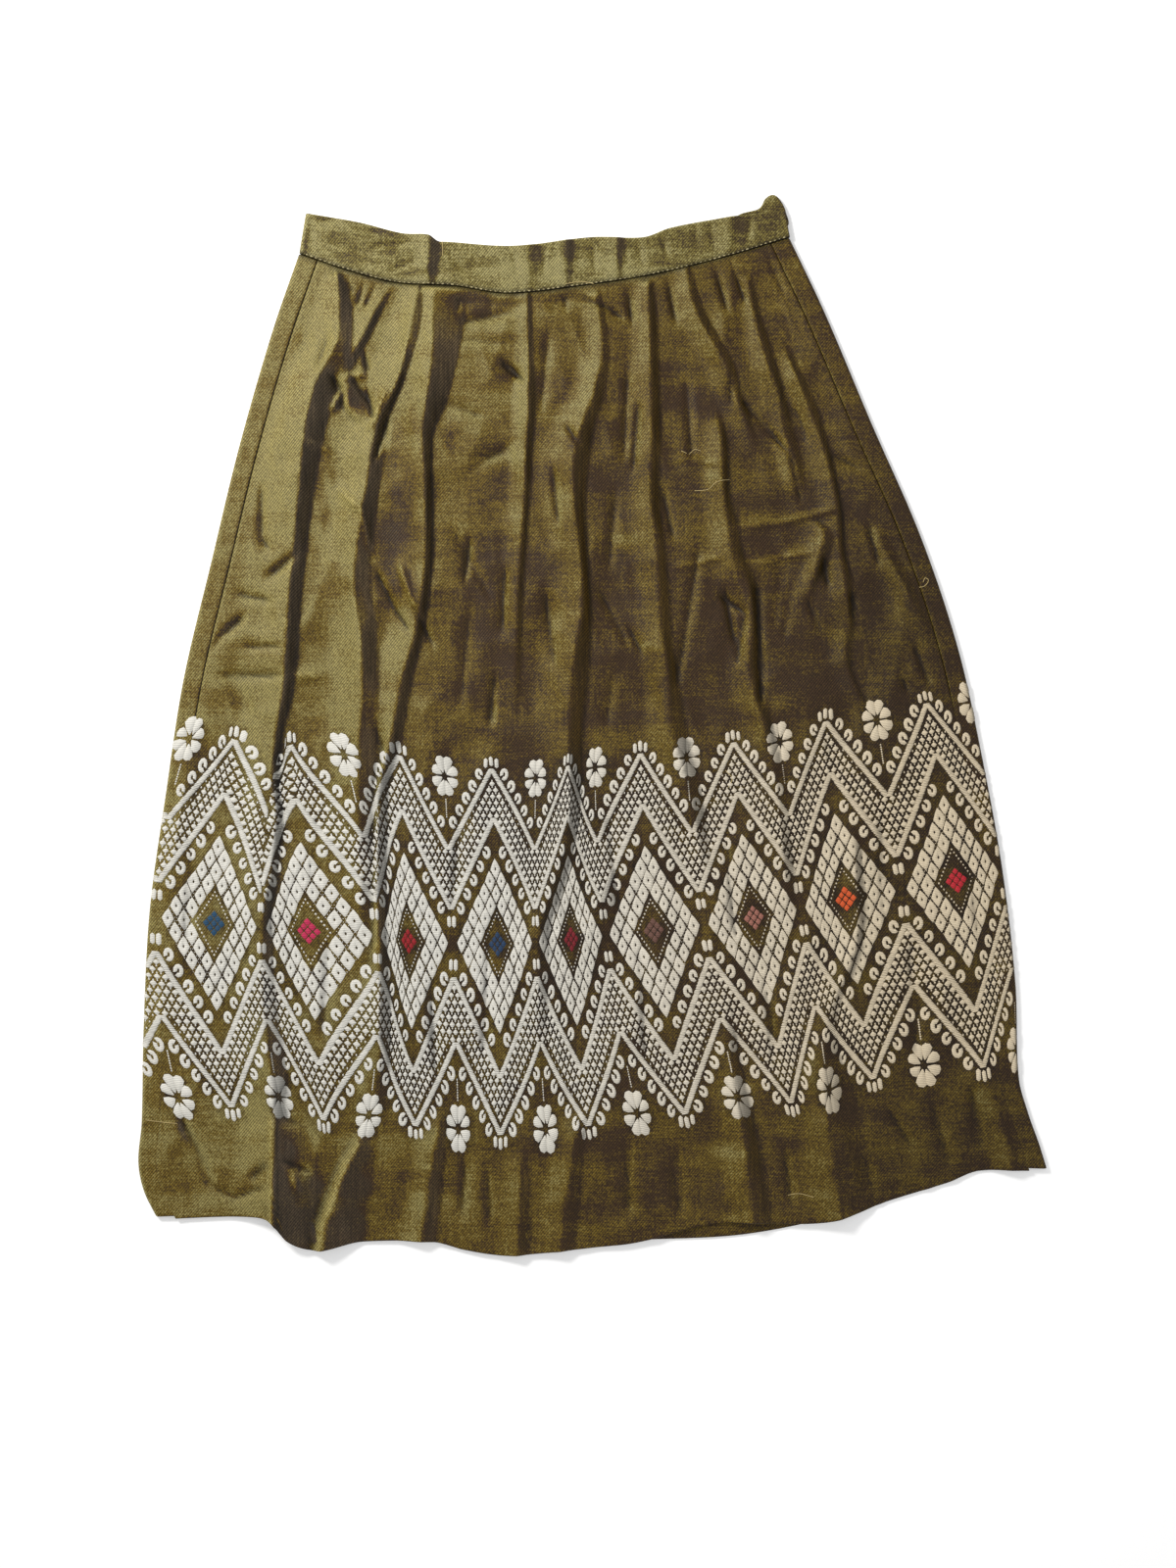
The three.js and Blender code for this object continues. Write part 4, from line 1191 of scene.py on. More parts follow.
# rows of stars between the lines, every other row shifted, with upright specks between the rows
def starMarks(up):
    pitch, (above, below) = chart["pitch"], chart["starRoom"]
    for row in range(int(chart["outerLine"][0] / chart["starRow"] * 2)):
        kind, parts, rise = ("speck", 2, chart["speckRise"]) if row % 2 else ("star", 1, 1)
        step = pitch / chart["stars"] / parts
        shift = 0.5 * (row // 2 % 2) if kind == "star" else 0.0
        v = (row + 0.5) * chart["starRow"] / 2
        for k in range(-chart["stars"] - 1, chart["stars"] + 2):
            u = (k + shift) * step
            low, high = zigzag(u, *chart["innerLine"]), zigzag(u, *chart["outerLine"])
            if -pitch / 2 <= u < pitch / 2 and low + above < v < high - below:
                yield kind, u, up * v, 0, chart[kind + "Size"], chart["rise"] * rise


# hooks along both lines, posts at the peaks and at the inner valleys
def hookMarks(up):
    half, (fromMiddle, fromEnd) = chart["pitch"] / 2, chart["hookRoom"]
    for (peak, valley), out in ((chart["outerLine"], 1), (chart["innerLine"], -1)):
        size = [reach * out for reach in chart["hookSize"]]
        for k in range(chart["hooks"]):
            share = (k + 1.0) / (chart["hooks"] + chart["hookEnd"])
            u = half * share + out * chart["hookAside"][0]
            v = peak - (peak - valley) * share + out * chart["hookAside"][1]
            if fromMiddle < u < half - fromEnd:
                for side in (-1, 1):
                    yield "hook", side * u, up * v, 0, (side * size[0], up * size[1]), chart["rise"]
    inset, height = chart["valleyPost"]
    for u, v in (*chart["peakPosts"], (-half + inset, height), (half - inset, height)):
        yield "post", u, up * v, 0, chart["postSize"], chart["rise"]


# the flower on its stem, in the outer valley to the right of the column
def flowerMarks(up):
    half, (wide, high) = chart["pitch"] / 2, chart["flowerHalf"]
    for k in range(chart["petals"]):
        angle = 2 * math.pi * (k + 0.5) / chart["petals"]
        aheadU, aheadV = wide * math.cos(angle), high * math.sin(angle)
        u = half + aheadU * chart["petalAt"]
        v = up * chart["flowerHeight"] + aheadV * chart["petalAt"]
        size = (math.hypot(aheadU, aheadV) * chart["petalLength"], chart["petalWidth"])
        yield "petal", u, v, math.atan2(aheadV, aheadU), size, chart["rise"] * chart["petalRise"]
    for k in range(chart["stemDots"]):
        v = up * (chart["stemFrom"] - k * chart["stemStep"])
        yield "speck", half, v, 0, chart["stemDotSize"], chart["stemRise"]


# the diamond: cells with beads in the gaps between them, all round a dotted ring
def diamondMarks():
    last = chart["cells"] - 1
    cellU, cellV = chart["cellHalf"]
    size = (2 * cellU * chart["cellShare"], 2 * cellV * chart["cellShare"])
    for i in range(last + 1):
        for j in range(last + 1):
            if abs(i - last / 2) > 1 or abs(j - last / 2) > 1:
                yield "cell", (i - j) * cellU, (i + j - last) * cellV, 0, size, chart["rise"]
    for line in range(1, last + 1):
        for k in range(int((last + 1) / chart["beadStep"])):
            along = (k + 0.5) * chart["beadStep"] - 0.5
            for i, j in ((line - 0.5, along), (along, line - 0.5)):
                if max(abs(i - last / 2), abs(j - last / 2)) > chart["beadFrom"]:
                    u, v = (i - j) * cellU, (i + j - last) * cellV
                    yield "speck", u, v, 0, chart["beadSize"], chart["beadRise"]
    ringU, ringV = chart["ringHalf"]
    corners = ((ringU, 0), (0, ringV), (-ringU, 0), (0, -ringV), (ringU, 0))
    for (au, av), (bu, bv) in zip(corners, corners[1:]):
        for step in range(chart["ringDots"]):
            share = step / chart["ringDots"]
            yield "speck", mix(au, bu, share), mix(av, bv, share), 0, chart["ringDotSize"], chart["ringRise"]


# the coloured patch in the ring, nine small rhombi
def patchMarks(color):
    wide, high = chart["patchSize"]
    for k in range(9):
        i, j = divmod(k, 3)
        yield "patch", (i - j) / 2 * wide, (i + j - 2) / 2 * high, 0, (wide, high), chart["ringRise"], color


def chartColumn(column):
    drawn = []
    for up in (1, -1):
        drawn += [*lineMarks(up), *starMarks(up), *hookMarks(up), *flowerMarks(up)]
    drawn += [*diamondMarks(), *patchMarks((column - 1) % len(yarnColors["centres"]))]
    marks = []
    for kind, u, v, turn, size, rise, *color in drawn:
        tint = color[0] if color else -1  # plain yarn
        marks.append((motifKinds.index(kind), column * chart["pitch"] + u, v, turn, *size, rise, tint))
    return marks


# small raised shapes, one unit wide and high, with their rims sunk into the cloth
def motifMesh(name, rings, closedCentre=None, loop=True):
    points = [p for ring in rings for p in ring]
    count = len(rings[0])
    faces = []
    for k in range(len(rings) - 1):
        for i in range(count if loop else count - 1):
            n = (i + 1) % count
            faces.append((k * count + i, k * count + n, (k + 1) * count + n, (k + 1) * count + i))
    if closedCentre:
        points.append(closedCentre)
        start = (len(rings) - 1) * count
        faces += [(start + i, start + (i + 1) % count, len(points) - 1) for i in range(count)]
    mesh = bpy.data.meshes.new(name)
    mesh.from_pydata(points, [], faces)
    mesh.polygons.foreach_set("use_smooth", np.ones(len(mesh.polygons), bool))
    return mesh


sunk = -0.55
motifKinds = ("star", "speck", "float", "hook", "post", "petal", "cell", "patch")
hookForm = dict(
    start=-128.0, sweep=325.0, points=10,
    # the two radii and the height of each ring
    rings=((0.54, 0.53, sunk), (0.43, 0.45, 0.9), (0.2, 0.27, 1.0), (0.06, 0.12, sunk)),
)


def scaled(shape, share, z):
    return [(u * share, v * share, z) for u, v in shape]


def makeMotifs():
    rhombus = [
        (0.5, 0), (0.27, 0.27), (0, 0.5), (-0.27, 0.27), (-0.5, 0), (-0.27, -0.27), (0, -0.5), (0.27, -0.27),
    ]
    starShape = [
        (0.52, 0), (0.3, 0.3), (0, 0.55), (-0.3, 0.3), (-0.52, 0), (-0.3, -0.3), (0, -0.55), (0.3, -0.3),
    ]
    petal = [
        (0.5, 0.2), (0.3, 0.48), (-0.1, 0.36), (-0.5, 0.05),
        (-0.5, -0.05), (-0.1, -0.36), (0.3, -0.48), (0.5, -0.2),
    ]
    bar = [(0.5, 0), (0.34, 0.5), (-0.34, 0.5), (-0.5, 0), (-0.34, -0.5), (0.34, -0.5)]
    upright = [(v, u) for u, v in bar][::-1]
    diamond = [(0.5, 0), (0, 0.5), (-0.5, 0), (0, -0.5)]
    steps = hookForm["points"]
    angles = [math.radians(hookForm["start"] + hookForm["sweep"] * k / (steps - 1)) for k in range(steps)]
    hookRings = [[(ru * math.cos(a), rv * math.sin(a), z) for a in angles] for ru, rv, z in hookForm["rings"]]
    # each solid motif: its outline, the rings it is drawn in to, and the height of its middle
    solid = dict(
        star=(starShape, ((1, sunk), (0.72, 0.85)), 1), speck=(diamond, ((1, sunk),), 1),
        float=(bar, ((1, sunk), (0.8, 0.9)), 1), post=(upright, ((1, sunk), (0.72, 0.9)), 1),
        petal=(petal, ((1, sunk), (0.7, 0.95)), 1.1), patch=(rhombus, ((0.96, sunk), (0.55, 1)), 0.8),
    )
    motifs = {
        kind: motifMesh(kind, [scaled(shape, share, z) for share, z in rings], (0, 0, top))
        for kind, (shape, rings, top) in solid.items()
    }
    cellRings = ((1, sunk), (0.8, 0.95), (0.22, 1), (0.11, sunk))
    motifs["cell"] = motifMesh("cell", [scaled(rhombus, share, z) for share, z in cellRings])
    motifs["hook"] = motifMesh("hook", hookRings, loop=False)
    return motifs


# every tree ends the same way: the copies are made real and take their finish
def finishTree(tree, geometry, finish, result):
    real = addNode(tree, "GeometryNodeRealizeInstances", {"Geometry": geometry}).outputs["Geometry"]
    coat = addNode(tree, "GeometryNodeSetMaterial", {"Geometry": real, "Material": finish})
    feed(tree, result, {"Geometry": coat.outputs["Geometry"]})


def newTree(name, inputs):
    return newGroup(name, "GeometryNodeTree", inputs, (("Geometry", "Geometry"),))


def randomBetween(tree, low, high, seed):
    ends = {2: low, 3: high, "Seed": seed}
    return addNode(tree, "FunctionNodeRandomValue", ends, data_type="FLOAT").outputs[1]


# the tree that raises yarn on the cloth: a motif at every mark, a little uneven
def makeRaisedYarnTree():
    tree, given, result = newTree("raisedYarn", (
        ("Marks", "Geometry"), ("Motifs", "Collection"), ("Yarn", "Material"), ("Wobble", "Float"),
        ("Lean", "Float"), ("Seed", "Int"),
    ))

    def named(name, kind):
        node = addNode(tree, "GeometryNodeInputNamedAttribute", {"Name": name}, data_type=kind)
        return node.outputs["Attribute"]

    def uneven(amount, seedShift):
        seed = reckon(tree, "ADD", given["Seed"], float(seedShift))
        return randomBetween(tree, reckon(tree, "MULTIPLY", amount, -1.0), amount, seed)

    motifs = addNode(tree, "GeometryNodeCollectionInfo", {
        "Separate Children": True, "Reset Children": True, "Collection": given["Motifs"],
    })
    leaning = reckon(tree, "ADD", named("turn", "FLOAT"), uneven(given["Lean"], 1))
    turn = addNode(tree, "ShaderNodeCombineXYZ", {"Z": leaning})
    growth = reckon(tree, "ADD", uneven(given["Wobble"], 2), 1.0)
    place = addNode(tree, "GeometryNodeInstanceOnPoints", {
        "Pick Instance": True, "Points": given["Marks"], "Instance": motifs.outputs["Instances"],
        "Instance Index": named("motif", "INT"), "Rotation": turn.outputs[0],
        "Scale": scaleVector(tree, named("size", "FLOAT_VECTOR"), growth),
    })
    finishTree(tree, place.outputs["Instances"], given["Yarn"], result)
    return tree


# small beads at an even spacing along a path: stitches on a seam, the coil of the zip
def makeBeadsTree():
    tree, given, result = newTree("beadsAlong", (
        ("Path", "Geometry"), ("Spacing", "Float"), ("Bead Size", "Vector"), ("Wobble", "Float"),
        ("Finish", "Material"), ("Seed", "Int"),
    ))
    curve = addNode(tree, "GeometryNodeMeshToCurve", {"Mesh": given["Path"]})
    evenly = addNode(tree, "GeometryNodeResampleCurve", {}, mode="LENGTH")
    feed(tree, evenly.inputs, {"Curve": curve.outputs["Curve"], "Length": given["Spacing"]})
    bead = addNode(tree, "GeometryNodeMeshIcoSphere", {"Radius": 0.5, "Subdivisions": 1})
    tangent = addNode(tree, "GeometryNodeInputTangent", {}).outputs["Tangent"]
    align = addNode(tree, "FunctionNodeAlignRotationToVector", {"Vector": tangent}, axis="X")
    low, high = (reckon(tree, operation, 1.0, given["Wobble"]) for operation in ("SUBTRACT", "ADD"))
    growth = randomBetween(tree, low, high, given["Seed"])
    place = addNode(tree, "GeometryNodeInstanceOnPoints", {
        "Points": evenly.outputs["Curve"], "Instance": bead.outputs["Mesh"],
        "Rotation": align.outputs["Rotation"], "Scale": scaleVector(tree, given["Bead Size"], growth),
    })
    finishTree(tree, place.outputs["Instances"], given["Finish"], result)
    return tree


# a round yarn along each path, closed at both ends
def makeYarnTree():
    tree, given, result = newTree("looseYarn", (
        ("Path", "Geometry"), ("Thickness", "Float"), ("Finish", "Material"),
    ))
    curve = addNode(tree, "GeometryNodeMeshToCurve", {"Mesh": given["Path"]})
    radius = reckon(tree, "MULTIPLY", given["Thickness"], 0.5)
    ring = addNode(tree, "GeometryNodeCurvePrimitiveCircle", {"Resolution": 6, "Radius": radius})
    tube = addNode(tree, "GeometryNodeCurveToMesh", {
        "Curve": curve.outputs["Curve"], "Profile Curve": ring.outputs["Curve"], "Fill Caps": True,
    })
    finishTree(tree, tube.outputs["Mesh"], given["Finish"], result)
    return tree


def pathMesh(name, paths):
    points, edges = [], []
    for path in paths:
        first = len(points)
        points += [tuple(c * mm for c in point) for point in path]
        edges += [(k, k + 1) for k in range(first, len(points) - 1)]
    mesh = bpy.data.meshes.new(name)
    mesh.from_pydata(points, edges, [])
    return mesh


# runs a tree on a starting mesh and gives the plain mesh that comes out
def growMesh(name, startMesh, tree, settings):
    item = addPiece(name, startMesh)
    modifier = item.modifiers.new("grow", "NODES")
    modifier.node_group = tree
    for socket in tree.interface.items_tree:
        if socket.item_type == "SOCKET" and socket.in_out == "INPUT" and socket.name in settings:
            modifier[socket.identifier] = settings[socket.name]
    bpy.context.view_layer.update()
    shown = item.evaluated_get(bpy.context.evaluated_depsgraph_get())
    mesh = bpy.data.meshes.new_from_object(shown)
    mesh.name = name
    bpy.data.objects.remove(item)
    bpy.data.meshes.remove(startMesh)
    return mesh


def bandRow(kind, column):
    return readRows(bandColumns, "column", kind, column)


# place on the laid cloth of a chart point, and whether the left pleat swallows it
def bandPlace(u, v, pleated):
    column = u / chart["pitch"]
    hidden = np.zeros(np.shape(column), bool)
    if pleated:
        centre, share = swallowed["column"], smooth(v, 0, swallowed["fullAt"])
        before, after = centre - swallowed["before"] * share, centre + swallowed["after"] * share
        first, last = centre - 0.5, centre + 0.5
        hidden = (column > before) & (column < after)
        squeezed = np.where(column < before, first + (column - first) * 0.5 / (before - first),
                            last - (last - column) * 0.5 / (last - after))
        squeezed = np.where((column >= before) & (column <= after), centre, squeezed)
        column = np.where((column > first) & (column < last), squeezed, column)
    x, y = (bandRow("mid" + axis, column) + bandRow("slope" + axis, column) * v
            + bandRow("bow" + axis, column) * v * v for axis in "XY")
    return x, y, hidden


def underHeight(x, y):
    across, down = shareAt(x, y)
    inward = inwardAt(across, down)
    radius, middle = turnCircle()
    flat = back["floor"] + backRelief(across, down, x, y)
    return np.where(inward < radius, 2 * middle - wrapHeight(inward), flat)


# every mark of the band that shows on one side, and its place on the laid cloth
def bandMarks(shift, keepFrom, pleated):
    pitch, columns, overhang = (chart[name] for name in ("pitch", "columns", "overhang"))
    marks = np.array([mark for column in range(-1, columns + 1) for mark in chartColumn(column)])
    marks[:, 1] += shift
    x, y, hidden = bandPlace(marks[:, 1], marks[:, 2], pleated)
    inside = (marks[:, 1] > -overhang * pitch) & (marks[:, 1] < (columns + overhang) * pitch)
    kept = inside & (inwardAt(*shareAt(x, y)) > keepFrom) & ~hidden
    return marks[kept], x[kept], y[kept]


packing = dict(cell=3.0, reach=420.0, motifFill=0.62, rounds=3)


# how closely the yarn is packed at a place, 0 to 1
def yarnPacking(marks, x, y):
    cell, reach = packing["cell"], packing["reach"]
    count = int(2 * reach / cell)
    edges = np.linspace(-reach, reach, count + 1)
    areas = marks[:, 4] * marks[:, 5] * packing["motifFill"]
    covered, _, _ = np.histogram2d(x, y, bins=(edges, edges), weights=areas)
    packed = np.clip(evened(np.abs(covered), packing["rounds"]) / cell ** 2, 0, 1)

    def packedAt(px, py):
        i, j = (np.clip(((p + reach) / cell).astype(int), 0, count - 1) for p in (px, py))
        return packed[i, j]

    return packedAt


def setVectors(mesh, name, kind, field, values):
    attribute = mesh.attributes.new(name, kind, "POINT")
    attribute.data.foreach_set(field, np.ascontiguousarray(values, np.float32).ravel())


def makeBandThreads(name, marks, heightAt, side):
    start = bpy.data.meshes.new(name + "Marks")
    start.from_pydata([(u, v, 0) for u, v in marks[:, 1:3].tolist()], [], [])
    start.attributes.new("motif", "INT", "POINT").data.foreach_set("value", marks[:, 0].astype(np.int32))
    setFloat(start, "turn", marks[:, 3])
    setVectors(start, "size", "FLOAT_VECTOR", "vector", marks[:, 4:7])
    setFloat(start, "tint", marks[:, 7])
    mesh = growMesh(name, start, raisedYarn, {
        "Motifs": motifCollection, "Yarn": bandYarn, "Wobble": chart["wobble"], "Lean": chart["lean"],
        "Seed": chart["seed"],
    })
    for face in mesh.polygons:  # a mirrored hook comes out upside down
        if face.normal.z < 0:
            face.flip()
    layOnCloth(mesh, heightAt, side)
    return addPiece(name, mesh)


# yarn stays this far in from the turned side edge and this far off the table, and takes painted shade where
# it turns from the light in the folds
laying = dict(
    edgeKeep=0.35, slopeStep=0.8, slopeLimit=2.0, lowest=0.03, shadeFrom=0.12, shadeTo=0.5, shadeDepth=0.62,
    creamFrom=-120.0, creamTo=260.0,
)


# each yarn's colour: ivory to cream across the skirt, or its patch's colour, with painted shade where it
# turns from the light in the folds
def dyeAndShadeYarn(mesh, x, lean, side):
    tint = np.empty(len(mesh.vertices))
    mesh.attributes["tint"].data.foreach_get("value", tint)
    ivory, cream, centres = (np.array(yarnColors[name]) for name in ("ivory", "cream", "centres"))
    plain = mix(ivory, cream, smooth(x, laying["creamFrom"], laying["creamTo"])[:, None])
    patches = centres[np.maximum(np.rint(tint), 0).astype(int)]
    color = np.where(tint[:, None] < -0.5, plain, patches)
    inShade = smooth(lean, laying["shadeFrom"], laying["shadeTo"]) * (side > 0)
    color[:, :3] *= (1 - laying["shadeDepth"] * inShade)[:, None]
    setVectors(mesh, "yarnColor", "FLOAT_COLOR", "color", color)


# bends the flat chart onto the cloth
def layOnCloth(mesh, heightAt, side):
    flat = np.empty(len(mesh.vertices) * 3)
    mesh.vertices.foreach_get("co", flat)
    u, v, h = flat.reshape(-1, 3).T
    x, y, _ = bandPlace(u, v, side > 0)
    across, down = shareAt(x, y)
    width, keep = widthAt(down), laying["edgeKeep"]
    x = x + np.maximum(keep - across * width, 0) - np.maximum(keep - (1 - across) * width, 0)
    z = heightAt(x, y)
    step, limit = laying["slopeStep"], laying["slopeLimit"]
    slopeX = np.clip((heightAt(x + step, y) - heightAt(x - step, y)) / (2 * step), -limit, limit)
    slopeY = np.clip((heightAt(x, y + step) - heightAt(x, y - step)) / (2 * step), -limit, limit)
    normal = np.stack([-slopeX, -slopeY, np.ones(len(x))]) * side
    normal /= np.linalg.norm(normal, axis=0)
    place = np.stack([x, y, z]) + normal * h
    place[2] = np.maximum(place[2], laying["lowest"])
    mesh.vertices.foreach_set("co", np.ascontiguousarray(place.T * mm).ravel())
    if side < 0:
        mesh.flip_normals()
    setVectors(mesh, "chart", "FLOAT_VECTOR", "vector", np.stack([u, v, 0 * u]).T)
    dyeAndShadeYarn(mesh, x, normal[0], side)
    mesh.update()


# stitches just above the waist seam, the closed coil of the hidden zip, and threads left lying on the cloth

sewing = dict(
    # stitches and coil are set out in millimetres, their sizes and the thickness of a thread in metres
    seamRise=0.9, stitchLift=0.1, stitchFrom=6.0, stitchTo=4.0, stitchPoints=150, stitchSpacing=3.6,
    stitchSize=(0.0017, 0.0008, 0.0008), stitchWobble=0.4, stitchSeed=5, stitchColor=srgb(206, 192, 142),
    zipStart=6.0, zipLength=178.0, zipHeight=1.95, zipPoints=40, zipColor=srgb(58, 50, 38), zipRoughness=0.5,
    coilSpacing=1.3, coilSize=(0.0009, 0.0036, 0.0008), coilWobble=0.02, coilSeed=3, coilTwist=0.0009,
    threadThickness=0.0005, threadLift=0.3, threadColor=srgb(214, 190, 128), threadRoughness=0.6,
    twist=0.0006,
    # each thread: points on the skirt, drawn as one smooth line
    threads=(
        ((-334, -295.5), (-322, -297), (-311, -298)), ((72, 202.5), (76, 206), (80.5, 205)),
        ((76, 175), (86, 176), (92, 181), (102, 183.5)),
        ((244, 103), (248, 104), (251, 108), (248.5, 110), (247, 107)),
        ((146, -352), (154, -350.5), (165, -353)), ((-112.6, 361.4), (-112.3, 356), (-112.5, 351)),
        ((-21, 329.5), (-10, 331.5), (0.5, 330)), ((66, 205), (70, 203)), ((99, -34), (104, -40), (101, -47)),
    ),
)


def smoothLine(points, steps=6):
    rows = table("k x y", *((k, *point) for k, point in enumerate(points)))
    k = np.linspace(0, len(points) - 1, steps * (len(points) - 1) + 1)
    return readRows(rows, "k", "x", k), readRows(rows, "k", "y", k)


def skirtTop(x, y):
    seamY = readRows(outline["waistRows"], "x", "y", x)
    return np.where(y > seamY, waistband["height"] + waistbandRelief(x, y), topHeight(x, y))


# one line of beads along a path: stitches or the coil, by the names of their settings
def sewBeads(name, path, kind, finish):
    return growMesh(name, pathMesh(name + "Path", [path]), beadsAlong, {
        "Spacing": sewing[kind + "Spacing"] * mm, "Bead Size": sewing[kind + "Size"],
        "Wobble": sewing[kind + "Wobble"], "Finish": finish, "Seed": sewing[kind + "Seed"],
    })


def sewWaist():
    leftX, rightX = outline["waistLeft"][0], outline["waistRight"][0]
    x = np.linspace(leftX + sewing["stitchFrom"], rightX - sewing["stitchTo"], sewing["stitchPoints"])
    y = readRows(outline["waistRows"], "x", "y", x) + sewing["seamRise"]
    z = waistband["height"] + waistbandRelief(x, y) + sewing["stitchLift"]
    return sewBeads("waistStitches", zip(x, y, z), "stitch", stitchThread)


def dropThreads():
    paths = []
    for points in sewing["threads"]:
        x, y = smoothLine(points)
        paths.append(list(zip(x, y, skirtTop(x, y) + sewing["threadLift"])))
    return growMesh("looseThreads", pathMesh("threadPaths", paths), looseYarn, {
        "Thickness": sewing["threadThickness"], "Finish": looseThread,
    })


def sewZip():
    down = np.linspace(sewing["zipStart"], sewing["zipLength"], sewing["zipPoints"]) / rightLength
    x, y = planPoint(1 - outline["sideWrap"] / widthAt(down), down)
    return sewBeads("zipCoil", zip(x, y, 0 * x + sewing["zipHeight"]), "coil", zipNylon)


clothTone = dict(
    # share of gold towards the window and away from it, and where across the skirt it turns
    rows=table("y left right edge", (-340, 0.62, 0.22, -120), (60, 0.7, 0.08, -130), (330, 0.82, 0.28, -30)),
    # how strongly the painted light and shade follow the cloth's lean, its crests, creases and hollows, the
    # seam, the far side and the packed yarn
    width=260.0, turnToBrown=1.6, upToGold=1.1, farLively=0.55, satinFrom=0.12, satinTo=0.5, satinShare=0.95,
    satinDrift=0.12, crestHighlightGold=0.35, crestShade=0.3, hollowShadeBrown=0.2, hollowShade=0.4, lineShade=0.4,
    highlight=0.22, brightFrom=0.9, brightRange=0.6, seamShade=0.85, seamWidth=4.2, puckerFrom=0.8,
    farSatin=0.14, farShade=0.24, farAcross=(110, 250), farUp=(-300, -100),
    # where a crest, a line and a hollow begin and are full, and how far past brown the satin begins
    crestRange=(0.22, 0.9), lineRange=(0.2, 0.9), hollowRange=(0.3, 2.2), brownRange=(-0.12, 0.35),
    brownShare=0.8, glint=0.5, glintLean=0.42, glintWidth=0.2, sheen=0.32, packedShadeGold=0.45, packedShade=0.6,
    ragged=7.0,
    # size, seed and stretch of each drift
    satinNoise=(9, 71, 3.0), sheenNoise=(11, 72, 3.5), puckerNoise=(7, 73),
    # painted highlights and painted shade where the silk catches the light or turns from it
    patches=table(
        "x y wide high change",
        (-137, 203, 14, 52, -0.75), (-146, 126, 17, 44, -0.75), (-175, 242, 11, 9, -0.9),
        (-204, 176, 8, 30, -0.35), (-185, 212, 12, 22, 0.3), (-189, 99, 14, 30, -0.3),
        (-208, 44, 14, 26, 0.25), (-103, 214, 8, 16, -0.4), (-84, 314, 30, 7, -0.5), (-77, 235, 28, 12, 0.2),
        (-60, 266, 8, 7, -0.5), (-79, 125, 26, 42, -0.2), (-73, 60, 30, 50, -0.3), (-16, 216, 7, 10, -0.4),
        (-26, 252, 16, 20, -0.22), (20, 187, 17, 28, -0.3), (15, 140, 20, 8, 0.25), (79, 241, 22, 10, -0.3),
        (86, 189, 28, 10, 0.3), (81, 143, 25, 12, 0.26), (83, 168, 24, 6, -0.22), (136, 154, 30, 5, 0.25),
        (22, 84, 18, 20, -0.15), (147, 88, 50, 50, -0.1), (270, 37, 10, 8, 0.25), (79, 262, 22, 10, 0.22),
        (125, 266, 22, 10, 0.16), (-40, 60, 14, 20, 0.15), (60, 20, 20, 14, -0.15), (200, 40, 30, 20, -0.1),
        (30, -340, 26, 16, -0.12), (86, -330, 20, 14, 0.12), (-143, -349, 12, 20, -0.3),
        (191, -327, 11, 26, -0.35), (-335, -316, 5, 22, -0.5), (-172, -318, 6, 14, -1),
        (-177, -345, 9, 16, -1), (-184, -374, 12, 14, -1), (-231, -340, 7, 34, -1),
        (-207, -352, 6, 14, -0.9), (-219, -374, 13, 11, -1), (-218, -336, 6, 9, 0.5),
        (-286, -300, 16, 20, 0.12), (-262, -345, 14, 12, -0.2), (-262, 150, 16, 40, -0.12),
        (-250, 230, 12, 26, 0.2),
    ),
)
bandTone = dict(
    clothTone, turnToBrown=1.8, ragged=2.0,
    rows=table("y left right edge", (320, 0.8, 0.42, 70), (400, 0.8, 0.42, 70)),
    # painted shade along the band's folds and creases
    patches=table(
        "x y wide high change",
        (-156, 368, 14, 3, -0.7), (-150, 355, 7, 4, -0.7), (-135, 338, 10, 4, -0.6),
        (-118, 351, 4.5, 18, -0.95), (-43, 348, 6, 14, -0.6), (-18, 356, 5, 12, -0.8),
        (-217, 368, 4, 14, -0.6), (21, 357, 5, 14, -0.6), (81, 362, 18, 9, -0.4), (110, 366, 5, 14, -0.5),
        (-196, 366, 10, 4, -0.4), (-180, 348, 12, 5, -0.35), (-84, 346, 14, 5, -0.3), (-8, 338, 16, 4, -0.4),
        (54, 346, 12, 5, -0.4), (-204, 378, 10, 3, -0.5),
    ),
)

# the side that lies down has two broad patches
backTone = dict(clothTone, patches=table(
    "x y wide high change",
    (-150, 150, 60, 200, 0.1), (150, 0, 80, 200, -0.08),
))

shotSilk = makeShotSilk()
yarnFloats = makeYarnFloats()
skirtSilk = makeSilkMaterial("skirtSilk", {})
waistbandSilk = makeSilkMaterial("waistbandSilk", silk["waistband"])

skirtFront = addPiece("skirtFront", makeSkirtFront())
print("front cloth:", len(skirtFront.data.polygons), "faces")
skirtBack = addPiece("skirtBack", makeSkirtBack())
print("back cloth:", len(skirtBack.data.polygons), "faces")
waistbandCloth = addPiece("waistbandCloth", makeWaistbandCloth())
waistbandTabCloth = addPiece("waistbandTabCloth", makeTabCloth())
print("waistband:", len(waistbandCloth.data.polygons), "faces")

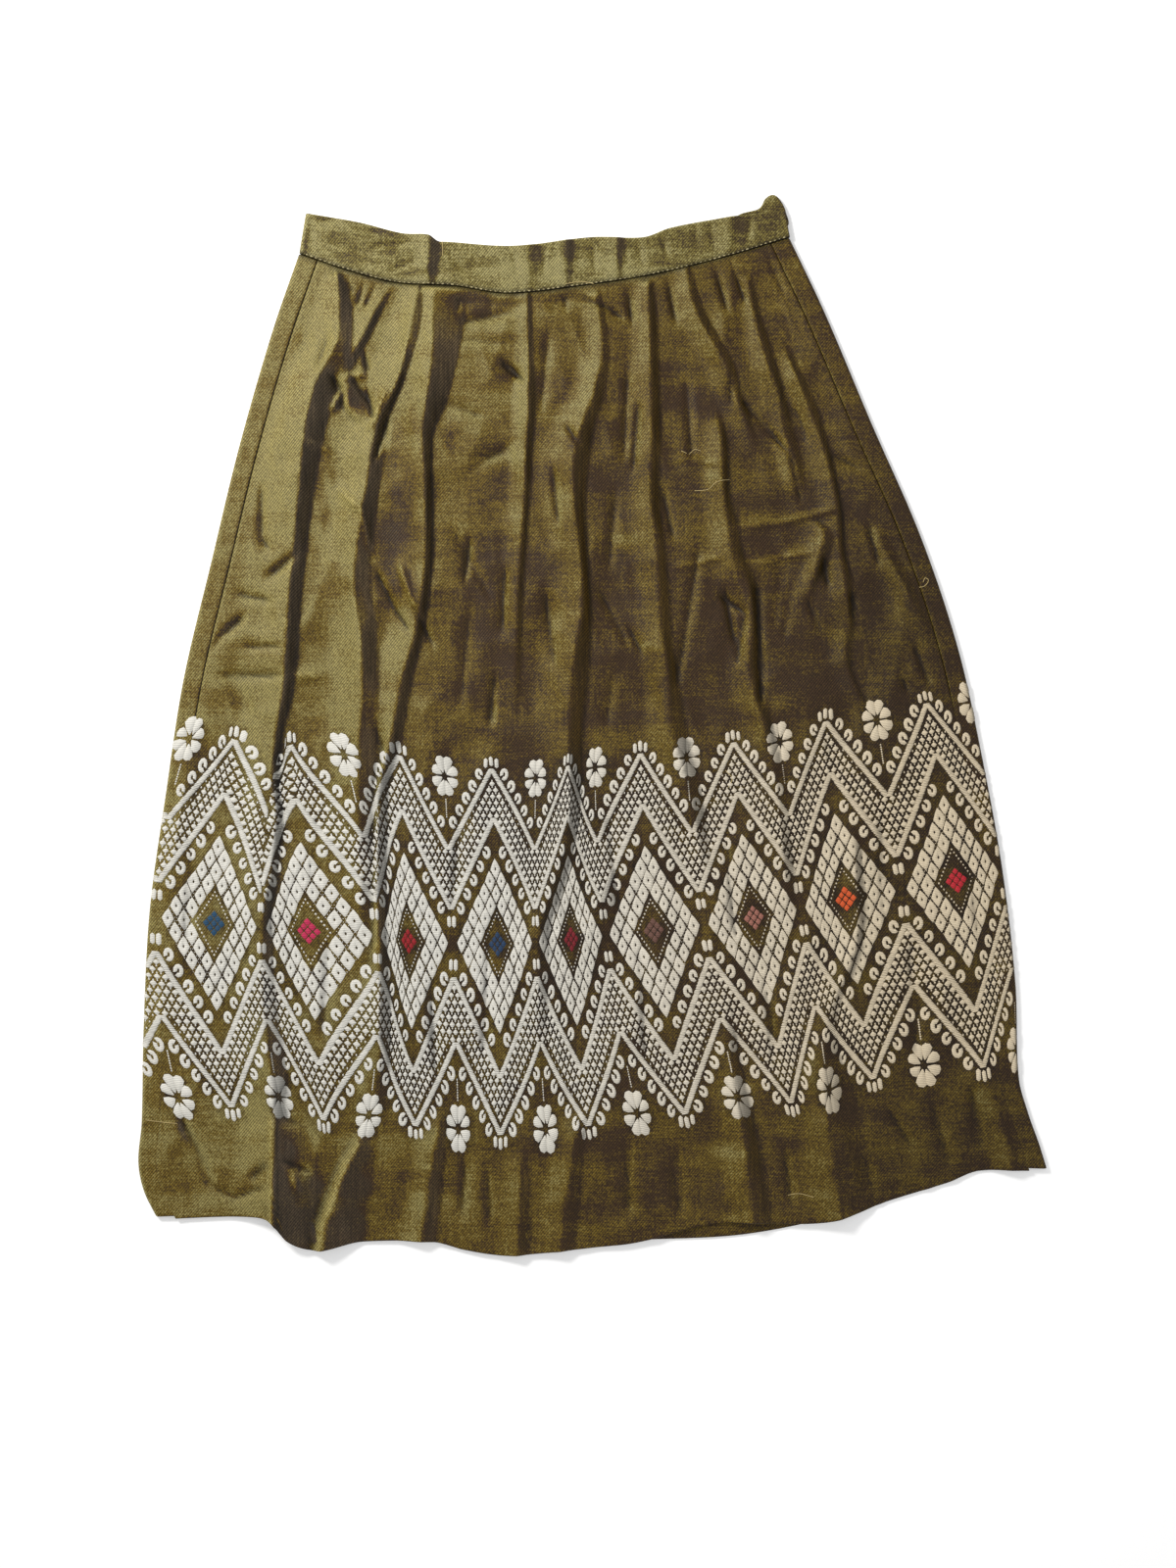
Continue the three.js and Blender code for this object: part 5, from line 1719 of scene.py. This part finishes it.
motifCollection = bpy.data.collections.new("yarnMotifs")
bpy.context.scene.collection.children.link(motifCollection)
motifs = makeMotifs()
for k, kind in enumerate(motifKinds):
    motifCollection.objects.link(bpy.data.objects.new(f"motif{k}{kind}", motifs[kind]))
raisedYarn = makeRaisedYarnTree()
bandYarn = makeYarnMaterial("bandYarn")
frontMarks = bandMarks(0.0, chart["frontKeep"], True)
frontBandThreads = makeBandThreads("frontBandThreads", frontMarks[0], topHeight, 1)
print("band on the front:", len(frontBandThreads.data.loop_triangles), "triangles")
backMarks = bandMarks(chart["pitch"] / 2, chart["backKeep"], False)
backBandThreads = makeBandThreads("backBandThreads", backMarks[0], underHeight, -1)
for item in list(motifCollection.objects):
    bpy.data.objects.remove(item)
bpy.data.collections.remove(motifCollection)
print("band on the back is woven")

beadsAlong, looseYarn = makeBeadsTree(), makeYarnTree()
plainFinish = sewing["twist"], sewing["threadRoughness"]
stitchThread = makeThreadMaterial("stitchThread", sewing["stitchColor"], *plainFinish)
looseThread = makeThreadMaterial("looseThread", sewing["threadColor"], *plainFinish)
zipNylon = makeThreadMaterial("zipNylon", sewing["zipColor"], sewing["coilTwist"], sewing["zipRoughness"])
sewn = (sewWaist(), dropThreads(), sewZip())
waistStitches, looseThreads, zipCoil = (addPiece(mesh.name, mesh) for mesh in sewn)
zipTape = frame["nodes"]["side_zip"]
zipTape.data.materials.clear()
zipTape.data.materials.append(zipNylon)
print("seam stitches, loose threads and zip are sewn")

frontPacking = yarnPacking(*frontMarks)
for piece, tone, silk, packing in (
    (skirtFront, clothTone, skirtSilk, frontPacking), (skirtBack, backTone, skirtSilk, None),
    (waistbandCloth, bandTone, waistbandSilk, None), (waistbandTabCloth, bandTone, waistbandSilk, None),
):
    paintCloth(piece, tone, packing)
    piece.data.materials.append(silk)

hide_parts("front_panel")
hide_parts("back_panel")
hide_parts("waistband")
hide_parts("waistband_tab")
clothPieces = (skirtFront, skirtBack, waistbandCloth, waistbandTabCloth)
for piece in (*clothPieces, frontBandThreads, backBandThreads, waistStitches, looseThreads, zipCoil):
    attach(piece, rootBody)
